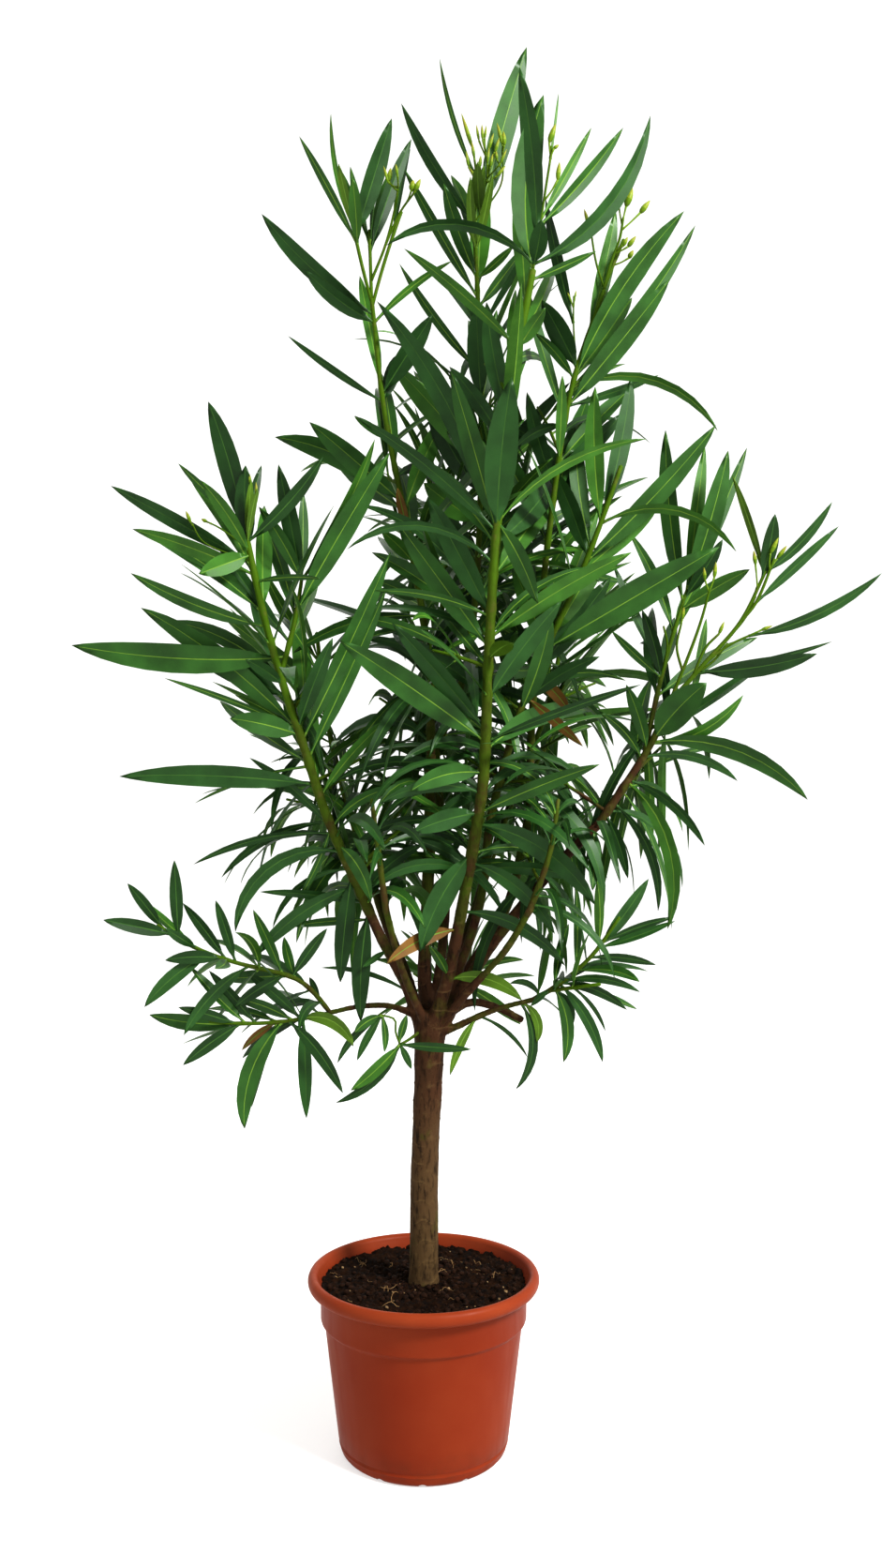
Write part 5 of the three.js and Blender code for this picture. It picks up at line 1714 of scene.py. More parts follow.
class Crown:
    """The living shrub: its limbs, stems, leaves and buds, grown by the rule of the part's source."""

    def __init__(self, leaf_form: LeafForm) -> None:
        """Starts with bare limbs.

        Args:
            leaf_form: the form of every leaf.
        """
        self.leaf_form = leaf_form
        self.slots = {tone: leaf_form.slots(tone) for tone in Tone}
        self.creases = leaf_form.creases()
        self.keep, self.blade_faces = leaf_form.blade()
        self.limbs = {
            name: Stem(Path.through([Vector(c) for c in limb.route], STEM_STEP), limb.foot, limb.tip)
            for name, limb in LIMBS.items()
        }
        self.stems: list[Stem] = []
        self.leaves = Heap()
        self.buds: list[Bud] = []
        self.clearing = Clearing()
        self.picture = Picture()
        self.low = np.array(cad_box[0]) - REACH * MM
        self.high = np.array(cad_box[1]) + REACH * MM
        for limb in self.limbs.values():
            self.take(limb)

    def take(self, stem: Stem) -> None:
        """Takes a stem's space, which later leaves keep out of.

        Args:
            stem: the stem.
        """
        points = stem.path.points
        form = tube(6, len(points))
        radii = [stem.radius(i / (len(points) - 1)) for i in range(len(points))]
        self.clearing.add(along_path(form, points, radii), form.faces)

    def show(self, stem: Stem, start: float = 0.0, end: float = 1.0) -> None:
        """Notes a stem that has to show in the picture.

        Args:
            stem: the stem.
            start: share of its length from which it shows.
            end: share up to which it shows.
        """
        steps = max(2, round(stem.path.length / 2))
        shares = [start + (end - start) * i / steps for i in range(steps + 1)]
        line = [(stem.path.point(at), stem.radius(at)) for at in shares]
        self.picture.mark(np.array([(p.x + r * off, p.y, p.z) for p, r in line for off in (-1, 0, 1)]))

    def main_stem(self, name: str, mass: Mass) -> Stem:
        """Grows a mass's main stem on from the tip of its bough.

        Args:
            name: the mass's name.
            mass: the mass.

        Returns:
            The stem.
        """
        bough = self.limbs[mass.bough]
        end, onward = bough.path.point(1), bough.path.direction(1)
        path = Path.through([end, *(Vector(c) for c in mass.route)], STEM_STEP)
        sunk = Path([end - onward * ROOT_SINK, *path.points])
        return Stem(sunk, min(mass.foot, bough.tip), mass.tip, youth=YOUTH.get(name, USUAL_YOUTH))

    def side_stem(self, main: Stem, shoot: Shoot) -> Stem:
        """Grows a side shoot.

        Args:
            main: the stem that carries it.
            shoot: the shoot.

        Returns:
            Its stem.
        """
        arc = Arc(main.path.point(shoot.at), shoot.bearing, shoot.rise, shoot.length, shoot.bow)
        thick = main.radius(shoot.at)
        foot = min(thick * SIDE_FOOT, thick - 0.1)
        path = arc.path(max(4, round(shoot.length / STEM_STEP)))
        return Stem(path, foot, min(SIDE_TIP, foot), youth=(blend(main.youth, shoot.at), 1.0))

    def grow(self) -> None:
        """Grows the stems of every mass, then what shows in the picture, then whorls and twigs in between."""
        jobs, groups = [], {}
        for name, mass in MASSES.items():
            main = self.main_stem(name, mass)
            sides = [self.side_stem(main, shoot) for shoot in mass.shoots]
            groups[name] = [main, *sides]
            jobs.append((main, mass.growth, mass))
            jobs += [(side, shoot.growth, None) for side, shoot in zip(sides, mass.shoots)]
        self.stems = [stem for stem, _, _ in jobs]
        for stem in self.stems:
            self.take(stem)
        route = [Vector(c) for c in SPRIG.route]
        sprig = Stem(Path.through(route, SPRIG_STEP), SPRIG.foot, SPRIG.tip, youth=SPRIG_YOUTH)
        self.stems.append(sprig)
        self.grow_seen({**groups, "hanging_sprig": [sprig]})
        for place, (stem, growth, mass) in enumerate(jobs):
            dice = Dice(FILL_SEED + place)
            self.whorls(stem, HABITS[growth], dice)
            if mass:
                self.twigs(stem, TWIGS.get(mass.growth, 0), dice)

    def grow_seen(self, groups: dict[str, list[Stem]]) -> None:
        """Grows what shows in the picture.

        Args:
            groups: the stems that may carry it, by the name of their mass.
        """
        dice = Dice(SEEN_SEED)
        for name in SHOWN_LIMBS:
            self.show(self.limbs[name])
        for name, seen in SEEN.items():
            group = [*groups[name]]
            if name in MASSES:
                group.append(self.limbs[MASSES[name].bough])
            if name in BARE_STEMS:
                self.show(groups[name][0], *BARE_STEMS[name])
            for thing in seen:
                if isinstance(thing, Stalk):
                    group.insert(0, self.stalk(group, thing))
                elif isinstance(thing, Head):
                    self.head(group, thing)
                else:
                    self.seen_leaf(group, thing, dice)

    def root(self, stem: Stem, at: float, outward: Vector) -> Vector:
        """Returns the point just inside a stem, at a share of it, from which a leaf grows outward."""
        share = min(at, 1 - 2.0 / stem.path.length)
        return stem.path.point(share) + outward * stem.radius(share) * ROOT_DEPTH

    def lay(self, leaf: Leaf, corners: np.ndarray) -> None:
        """Lays a leaf down and takes its space."""
        self.clearing.add(corners[self.keep], self.blade_faces)
        self.leaves.add(self.leaf_form.form, corners, self.slots[leaf.tone], self.creases)

    def settle(self, leaf: Leaf) -> bool:
        """Lays a leaf where it crosses nothing and suits the picture, turning it a little if it has to.

        Args:
            leaf: the leaf.

        Returns:
            True if such a place was found.
        """
        bearing = leaf.bearing
        for nudge in NUDGES:
            leaf.bearing = bearing + nudge
            corners = self.leaf_form.place(leaf)
            blade = corners[self.keep]
            if (corners < self.low).any() or (corners > self.high).any():
                continue
            if not self.picture.suits(self.leaf_form.filled(blade, *COARSE)):
                continue
            if self.clearing.is_free(blade, self.blade_faces):
                self.lay(leaf, corners)
                return True
        return False

    def nearest(self, stems: list[Stem], place: Pair) -> tuple[Stem, float]:
        """Finds the stem that shows nearest to a place of the picture.

        Args:
            stems: the stems to choose from.
            place: the place.

        Returns:
            The stem, and the share of its length at which it is nearest.
        """
        tries = [(i, step / 60) for i in range(len(stems)) for step in range(61)]
        _, which, at = min((math.dist(shown(stems[i].path.point(at)), place), i, at) for i, at in tries)
        return stems[which], at

    def stalk(self, stems: list[Stem], seen: Stalk) -> Stem:
        """Grows a thin stem where the picture shows it.

        Args:
            stems: the stems that may carry it.
            seen: the thin stem.

        Returns:
            Its stem.
        """
        stem, at = self.nearest(stems, seen.route[0])
        foot = stem.path.point(at)
        last = len(seen.route) - 1
        corners = [foot]
        for i, place in enumerate(seen.route[1:], 1):
            corners.append(EYE + sight(place) * (foot.y + seen.lean * i / last - EYE.y))
        path = Path.through(corners, STALK_STEP)
        grown = Stem(path, min(seen.foot, stem.radius(at) * 0.9), seen.tip, youth=STALK_YOUTH)
        self.stems.append(grown)
        self.show(grown)
        return grown

    def head(self, stems: list[Stem], seen: Head) -> None:
        """Grows a flower bud where the picture shows it.

        Args:
            stems: the stems that may carry it.
            seen: the bud.
        """
        stem, at = self.nearest(stems, seen.joint)
        foot = stem.path.point(at)
        base, tip = (EYE + sight(place) * (foot.y + seen.lean - EYE.y) for place in (seen.base, seen.tip))
        onward = (tip - base).normalized()
        reach = (base - foot).length
        middle = foot.lerp(base, 0.55) - onward * reach * 0.08
        path = Path.through([foot, middle, base], max(1.0, reach / 5))
        self.buds.append(Bud(path, onward, (tip - base).length, seen.thick))

    def seen_leaf(self, stems: list[Stem], seen: Seen, dice: Dice) -> None:
        """Lays a leaf where the picture shows it, on the nearest of some stems.

        Args:
            stems: the stems that may carry it.
            seen: the leaf.
            dice: the dice for what the picture doesn't settle.
        """
        stem, at = self.nearest(stems, seen.root)
        foot = stem.path.point(at)
        tone = seen.tone or dice.pick(tones_at(at, foot.z < LOW_LEAVES, TIP_ABOVE["seen"]))
        fold, twist, sickle = curl(dice, SEEN_BLADE)
        for lean in LEANS:
            tip = EYE + sight(seen.tip) * (foot.y + seen.lean + lean - EYE.y)
            root = self.root(stem, at, (tip - foot).normalized())
            chord = tip - root
            half = math.radians(seen.bow) / 2
            length = chord.length * (half / math.sin(half) if abs(half) > 1e-3 else 1.0)
            bearing = math.degrees(math.atan2(chord.y, chord.x))
            rise = math.degrees(math.asin(chord.z / chord.length)) + seen.bow / 2
            turn = seen.turn if tip.x < root.x else -seen.turn
            roll = turn - Arc(root, bearing, rise, length, seen.bow).facing(EYE) - twist / 2
            leaf = Leaf(root, bearing, rise, length, seen.wide, seen.bow, roll, tone, fold, twist, sickle)
            corners = self.leaf_form.place(leaf)
            blade = corners[self.keep]
            if self.clearing.is_free(blade, self.blade_faces):
                break
        self.picture.mark(self.leaf_form.filled(blade, *FINE))
        self.lay(leaf, corners)

    def whorls(self, stem: Stem, habit: Habit, dice: Dice) -> int:
        """Lays whorls of three along a stem, ever closer towards its foot.

        Args:
            stem: the stem.
            habit: how they stand on it.
            dice: the dice for their unevenness.

        Returns:
            How many leaves it has.
        """
        laid = 0
        bare = habit.start
        count = max(1, round(stem.path.length * (1 - bare) / habit.step))
        phase = dice.throw() * FULL_TURN
        between = FULL_TURN / WHORL
        for i in range(count):
            at = bare + (1 - bare) * (i / count) ** CROWDING
            onward = stem.path.direction(at)
            level = Vector((onward.y, -onward.x, 0.0))
            level = level.normalized() if level.length > 0.05 else Vector((1.0, 0.0, 0.0))
            beside = onward.cross(level)
            weeping = at < habit.weep
            tones = tones_at(at, weeping, TIP_ABOVE["fill"])
            stem.nodes.append(at)
            for k in range(WHORL):
                turn = math.radians(phase + i * between / 2 + k * between + dice.about(JITTER["turn"]))
                spread = math.radians(blend(habit.spread, at) + dice.about(JITTER["spread"]))
                bow = blend(habit.bow, at) + dice.about(JITTER["bow"])
                length = blend(habit.length, at) * (1 + dice.about(JITTER["length"]))
                roll = dice.about(JITTER["roll"])
                lit = dice.between(*TURNED)
                outward = level * math.cos(turn) + beside * math.sin(turn)
                away = onward * math.cos(spread) + outward * math.sin(spread)
                bearing = math.degrees(math.atan2(away.y, away.x))
                rise = math.degrees(math.asin(max(-1.0, min(1.0, away.z))))
                wide = habit.wide
                if weeping:
                    rise += WEEPING["rise"]
                    bow = max(bow, WEEPING["bow"] + bow / 4)
                    length *= WEEPING["shorter"]
                    wide *= WEEPING["narrower"]
                bow = min(bow, rise + STEEPEST)
                root = self.root(stem, at, outward)
                viewer = EYE if root.y < BACK_FROM else EYE_BEHIND
                facing = Arc(root, bearing, rise, length, bow).facing(viewer)
                roll -= max(-MOST_TURN, min(MOST_TURN, facing)) * lit
                width = min(length * wide, LEAF_WIDTH_MOST) * dice.between(*SLIMNESS)
                tone = dice.pick(tones)
                leaf = Leaf(root, bearing, rise, length, width, bow, roll, tone, *curl(dice, FILL_BLADE))
                laid += self.settle(leaf)
        return laid

    def twigs(self, stem: Stem, count: int, dice: Dice) -> None:
        """Grows short leafy twigs on the lower part of a main stem.

        Args:
            stem: the stem.
            count: how many are tried.
            dice: the dice for their places and lines.
        """
        for _ in range(count):
            at = dice.between(*TWIG_LINE["at"])
            bearing, rise = dice.throw() * FULL_TURN, dice.between(*TWIG_LINE["rise"])
            length, bow = dice.between(*TWIG_LINE["length"]), dice.about(TWIG_LINE["bow"])
            arc = Arc(stem.path.point(at), bearing, rise, length, bow)
            foot = min(TWIG_THICK["most"], stem.radius(at) * TWIG_THICK["share"])
            twig = Stem(arc.path(8), foot, foot * TWIG_THICK["taper"], youth=(blend(stem.youth, at), 1.0))
            if not self.picture.suits(np.array([point[:] for point in twig.path.points])):
                continue
            before = len(self.leaves.corners)
            if self.whorls(twig, HABITS[TWIG], dice) < FEWEST:
                self.leaves.cut_back(before)
                continue
            self.stems.append(twig)
            self.take(twig)


@dataclass
class Foliage:
    """Green stems, leaves and flower buds, which stand for the masses.

    Attributes:
        crown: where everything grows.
        sides: sides of a stem.
        swelling: how much thicker a stem is at a whorl, as a share, and how far along it that reaches.
        stalk: radius of a bud's stalk at its start, middle and end.
        zones: shares of a bud's height at which its side and its tip begin.
    """

    crown: Crown
    sides: int = 8
    swelling: Pair = (0.22, 3.5)
    stalk: Triple = (0.95, 0.65, 1.0)
    zones: Pair = (0.3, 0.62)

    def leaves(self) -> Piece:
        """Returns all leaves as one piece."""
        finishes = (*LEAF_FINISHES, MIDRIB_FINISH, UNDERSIDE_FINISH, OLD_MIDRIB_FINISH)
        return self.crown.leaves.piece("leaves", [finish.make() for finish in finishes])

    def stems(self) -> Piece:
        """Returns all green stems as one piece."""
        heap = Heap()
        more, reach = self.swelling
        for stem in self.crown.stems:
            points = stem.path.points
            last = len(points) - 1
            radii = []
            for share in (i / last for i in range(last + 1)):
                near = min((abs(node - share) * stem.path.length for node in stem.nodes), default=math.inf)
                radii.append(stem.radius(share) * (1 + more * math.exp(-((near / reach) ** 2))))
            form = tube(self.sides, len(points) + 1, pointed=True)
            ends = [*points, points[-1] + stem.path.direction(1) * stem.tip * 0.8]
            ring = np.minimum(form.points[:, 2].round().astype(int), last)
            youth = np.interp(ring / last, [0, 1], stem.youth)
            heap.add(form, along_path(form, ends, [*radii, 0.0]), youth=youth)
        return heap.piece("stems", [BARK_FINISH.make()])

    def buds(self) -> Piece:
        """Returns all flower buds with their stalks as one piece."""
        heap = Heap()
        form = self.bud_form()
        heights = [form.points[face].mean(0)[2] for face in form.faces]
        slots = np.searchsorted(self.zones, heights)
        for bud in self.crown.buds:
            points, onward = bud.stalk.points, bud.onward
            stalk = tube(6, len(points))
            radii = np.interp(np.arange(len(points)) / (len(points) - 1), (0, 0.5, 1), self.stalk)
            heap.add(stalk, along_path(stalk, points, radii.tolist()))
            side = onward.orthogonal().normalized()
            turn = np.array([side[:], onward.cross(side)[:], onward[:]])
            size = np.array([bud.thick, bud.thick, bud.length])
            base = np.array((points[-1] - onward * 0.6)[:])
            heap.add(form, (form.points * size @ turn + base) * MM, slots)
        return heap.piece("flower_buds", [finish.make() for finish in BUD_FINISHES])

    def bud_form(self) -> Form:
        """Returns a pear-shaped bud of width 2 and height 1, drawn out to its tip."""
        bm = bmesh.new()
        made = bmesh.ops.create_uvsphere(bm, u_segments=7, v_segments=7, radius=1.0)["verts"]
        for corner in made:
            high = corner.co.z * 0.5 + 0.5
            width = math.sin(math.pi * high**0.72) ** 0.8 if 0 < high < 1 else 0.0
            level = Vector((corner.co.x, corner.co.y, 0.0))
            level = level.normalized() * width if level.length > 1e-6 else level
            corner.co = (level.x, level.y, high)
        return Form(bm)


SCARRED_TO = 0.43  # height in metres up to which leaf scars show


@dataclass
class Wood:
    """The trunk and its boughs: one skin over all of them, with bark relief.

    Attributes:
        limbs: the boughs, by name.
        rings: height, place along X and radius of the trunk's rings.
        flare: how much thicker a bough is at its foot, as a share, and over how many steps that fades.
        voxel: grid that the skins are merged on, in metres.
        green: heights between which boughs turn green.
        knobs: how many knobs fit in a metre, and their height.
        furrows: how many furrows fit in a metre across and along the wood, and their height.
        grit: how many grains fit in a metre, and their height.
        ring_step: distance between leaf scars, their half-width and their height.
    """

    limbs: dict[str, Stem]
    rings: tuple[Triple, ...] = (
        (124, 0, 15.6), (131, 0, 15.2), (137, 0, 14.6), (142, 0, 13.5), (151, 0, 12.8), (196, 0.6, 12.3),
        (240, 1, 11.9), (282, 2.6, 12.0), (320, 4, 12.3), (348, 5, 13.4), (362, 5.6, 14.4), (372, 6, 13.4),
        (378, 6, 9),
    )
    flare: Pair = (0.35, 2.2)
    voxel: float = 0.00125
    green: Pair = (395.0, 565.0)
    knobs: Pair = (42.0, 0.55)
    furrows: Triple = (330.0, 60.0, 0.55)
    grit: Pair = (520.0, 0.12)
    ring_step: Triple = (17.0, 1.3, 0.45)

    def skin(self) -> Mesh:
        """Returns one closed mesh over trunk and boughs."""
        heap = Heap()
        path = Path.through([Vector((x, 0.0, z)) for z, x, _ in self.rings], 6.0)
        heights = [z for z, _, _ in self.rings]
        widths = [radius for _, _, radius in self.rings]
        form = tube(28, len(path.points))
        heap.add(form, along_path(form, path.points, [float(np.interp(p.z, heights, widths)) for p in path.points]))
        more, steps = self.flare
        for stem in self.limbs.values():
            form = tube(16, len(stem.path.points))
            last = len(stem.path.points) - 1
            radii = [stem.radius(i / last) * (1 + more * math.exp(-i / steps)) for i in range(last + 1)]
            heap.add(form, along_path(form, stem.path.points, radii))
        rough = heap.piece("rough_wood", [])
        remesh = rough.modifiers.new("merge", "REMESH")
        remesh.mode = "VOXEL"
        remesh.voxel_size = self.voxel
        smooth = rough.modifiers.new("soften", "SMOOTH")
        smooth.factor, smooth.iterations = 0.5, 8
        return baked(rough)

    def age(self, name: str, share: float, height: float) -> float:
        """Says how young a place on a bough is.

        Args:
            name: the bough's name.
            share: share of its length.
            height: the place's height, in millimetres.

        Returns:
            How fresh and green it is, from 0 to 0.6.
        """
        low, high = self.green
        greened = max(0.0, min(0.6, (height - low) / (high - low)))
        if name == "pruned_stub":
            return 0.0
        if name == "right_bough":
            return 0.2 * greened
        if name.startswith(("low", "inner_left", "inner_right")):
            return 0.55 * share
        return max(greened, 0.55 * share**3)

    def ages(self) -> tuple[KDTree, list[float]]:
        """Returns a search tree over the limbs' lines, and how young each of its places is."""
        places = [(Vector((x, 0.0, z)) * MM, 0.0) for z, x, _ in self.rings]
        for name, stem in self.limbs.items():
            last = len(stem.path.points) - 1
            for i, point in enumerate(stem.path.points):
                places.append((point * MM, self.age(name, i / last, point.z)))
        tree = KDTree(len(places))
        for i, (point, _) in enumerate(places):
            tree.insert(point, i)
        tree.balance()
        return tree, [youth for _, youth in places]

    def scar(self, place: Vector) -> float:
        """Says how much of a leaf scar or ring shows at a place on the trunk.

        Args:
            place: the place, in metres.

        Returns:
            From 0, none, to 1.
        """
        step, half, _ = self.ring_step
        turn = math.atan2(place.y, place.x)
        wave = place.z / MM + 3.0 * math.sin(turn * 2 + place.z * 40) + 1.2 * math.sin(turn * 5)
        number = math.floor(wave / step)
        strength = 0.5 + 0.5 * math.sin(number * 12.9898 + 2.0 * turn)
        return max(0.0, 1 - abs(wave - (number + 0.5) * step) / half) * max(0.0, strength)

    def make(self) -> Piece:
        """Returns the wood with its bark."""
        mesh = self.skin()
        tree, youths = self.ages()
        count = len(mesh.vertices)
        youth, scars = np.zeros(count), np.zeros(count)
        places, normals = np.zeros(count * 3), np.zeros(count * 3)
        mesh.vertices.foreach_get("co", places)
        mesh.vertices.foreach_get("normal", normals)
        places, normals = places.reshape(-1, 3), normals.reshape(-1, 3)
        moved = places.copy()
        across, along, deep = self.furrows
        for i, (co, normal) in enumerate(zip(places, normals)):
            place = Vector(co)
            _, nearest, _ = tree.find(place)
            youth[i] = youths[nearest]
            plain = 1 - youth[i] * 1.4
            scars[i] = self.scar(place) * plain if place.z < SCARRED_TO else 0.0
            knobs = noise.noise(place * self.knobs[0]) * self.knobs[1]
            furrow = noise.noise(Vector((place.x * across, place.y * across, place.z * along)))
            grit = noise.noise(place * self.grit[0]) * self.grit[1]
            lift = knobs + (abs(furrow) - 0.3) * deep * max(0.25, plain) + grit + scars[i] * self.ring_step[2]
            moved[i] += np.array(normal) * lift * MM
        mesh.vertices.foreach_set("co", moved.ravel())
        note(mesh, "youth", youth)
        note(mesh, "scar", scars)
        mesh.update()
        return placed("trunk_and_boughs", mesh, [BARK_FINISH.make()])


# Pot and soil


def arc_points(centre: Pair, reach: Pair, start: float, end: float, steps: int) -> list[Pair]:
    """Returns points of a round in a profile.

    Args:
        centre: its middle, as radius and height.
        reach: its half-width and half-height.
        start: its first angle.
        end: its last angle.
        steps: how many lengths it has.

    Returns:
        The points.
    """
    turns = [math.radians(start + (end - start) * i / steps) for i in range(steps + 1)]
    return [(centre[0] + reach[0] * math.cos(t), centre[1] + reach[1] * math.sin(t)) for t in turns]


def turned(profile: list[Pair], steps: int) -> bmesh.types.BMesh:
    """Turns a profile about the Z axis.

    Args:
        profile: radius and height of its points, in millimetres, from one end on the axis to the other.
        steps: how many steps go round.

    Returns:
        The closed body.
    """
    bm = bmesh.new()
    points = [bm.verts.new((radius * MM, 0.0, height * MM)) for radius, height in profile]
    lines = [bm.edges.new(pair) for pair in zip(points, points[1:])]
    bmesh.ops.spin(
        bm, geom=[*points, *lines], cent=(0, 0, 0), axis=(0, 0, 1), angle=math.tau, steps=steps, use_merge=True
    )
    bmesh.ops.remove_doubles(bm, verts=bm.verts, dist=1e-6)
    bmesh.ops.recalc_face_normals(bm, faces=bm.faces)
    return bm


@dataclass
class Pot:
    """The round nursery pot, with its band, rolled lip, foot groove and drainage notches.

    Attributes:
        height: over all.
        rim: greatest radius.
        lip: height and width of the rolled lip.
        band: radius and lower height of the band under the lip.
        step_in: how far the wall lies inside the band.
        base: radius of the foot.
        wall: thickness.
        floor: thickness of the floor.
        groove: height and depth of the groove over the foot.
        notch: width and height of a drainage notch.
        notches: how many there are.
        steps: how many flats go round it.
    """

    height: float = 152.0
    rim: float = 100.0
    lip: Pair = (12.0, 9.2)
    band: Pair = (89.0, 113.0)
    step_in: float = 3.2
    base: float = 72.0
    wall: float = 2.4
    floor: float = 3.0
    groove: Pair = (11.0, 0.8)
    notch: Pair = (7.5, 3.2)
    notches: int = 12
    steps: int = 160

    def radius(self, height: float) -> float:
        """Returns the wall's outer radius at a height under the band."""
        return blend((self.base, self.band[0] - self.step_in), height / self.band[1])

    def profile(self) -> list[Pair]:
        """Returns the pot's section from the middle of its underside round to the middle of its floor."""
        high, deep = self.groove
        lip_height, lip_width = self.lip
        middle = (self.rim - lip_width / 2, self.height - lip_height / 2)
        foot = self.band[1]
        under = self.height - lip_height
        return [
            (0, 1.2), (self.base - 16, 1.2), (self.base - 13, 0),
            *arc_points((self.base - 6, 6), (6, 6), -90, 0, 6),
            (self.radius(high - 2.2), high - 2.2), (self.radius(high - 1.2) - deep * 0.6, high - 1.2),
            (self.radius(high) - deep, high), (self.radius(high + 1.2) - deep * 0.6, high + 1.2),
            (self.radius(high + 2.2), high + 2.2),
            *((self.radius(z), z) for z in (30, 50, 70, 90)),
            (self.radius(foot - 4), foot - 4), (self.radius(foot - 3.2) + 0.3, foot - 2.6),
            (self.band[0] - 1.4, foot - 0.9), (self.band[0] - 0.6, foot), (self.band[0] - 0.2, foot + 1.4),
            (self.band[0], under - 1.6), (self.band[0] + 0.7, under - 0.5), (middle[0] - 2.0, under),
            *arc_points(middle, (lip_width / 2, lip_height / 2), -75, 170, 18),
            (self.band[0] - self.wall + 0.4, under), (self.band[0] - self.wall, under - 6),
            (self.band[0] - self.wall - 0.3, foot + 4), (self.radius(foot) - self.wall + 0.6, foot - 3),
            (self.radius(foot) - self.wall, foot - 6), (self.radius(60) - self.wall, 60),
            (self.radius(10) - self.wall, 10), (self.radius(6) - self.wall - 3, self.floor + 1.5),
            (self.base - 13, self.floor), (0, self.floor),
        ]

    def cutters(self) -> Piece:
        """Returns the flattened rods that cut the notches, one across the foot at each."""
        rods = bmesh.new()
        width, height = self.notch
        radius = width / 2 * MM
        for i in range(self.notches):
            made = bmesh.ops.create_cone(
                rods, cap_ends=True, segments=18, radius1=radius, radius2=radius, depth=14 * MM
            )["verts"]
            turn = Matrix.Rotation(math.tau * i / self.notches, 4, "Z")
            out = Matrix.Translation((self.base * MM, 0, 0))
            flat = Matrix.Diagonal((1, 1, 2 * height / width, 1))
            lay = Matrix.Rotation(math.pi / 2, 4, "Y")
            bmesh.ops.transform(rods, matrix=turn @ out @ flat @ lay, verts=made)
        return drawn("notches", rods, [])

    def make(self) -> Piece:
        """Returns the pot with its notches cut."""
        solid = drawn("pot_body", turned(self.profile(), self.steps), [])
        tools = self.cutters()
        cut = solid.modifiers.new("cut", "BOOLEAN")
        cut.operation, cut.object, cut.solver = "DIFFERENCE", tools, "EXACT"
        mesh = baked(solid)
        bpy.data.objects.remove(tools)
        mesh.set_sharp_from_angle(angle=math.radians(38))
        return placed("nursery_pot", mesh, [POT_FINISH.make()])


BY_TRUNK = (16.0, 34.0)  # distances from the middle at which crumbs gather
CRUMB_SIZE = (0.7, 3.6)
CHIP_SIZE = (0.8, 2.4)
CRUMB_SEED, CHIP_SEED = 821, 823
FIBRE = {
    "seed": 811, "steps": 9, "length": (7, 24), "hump": (0.4, 2.4), "bend": 0.22, "wander": 0.35, "turn_back": 1.2,
    "thick": (0.2, 0.4),
}


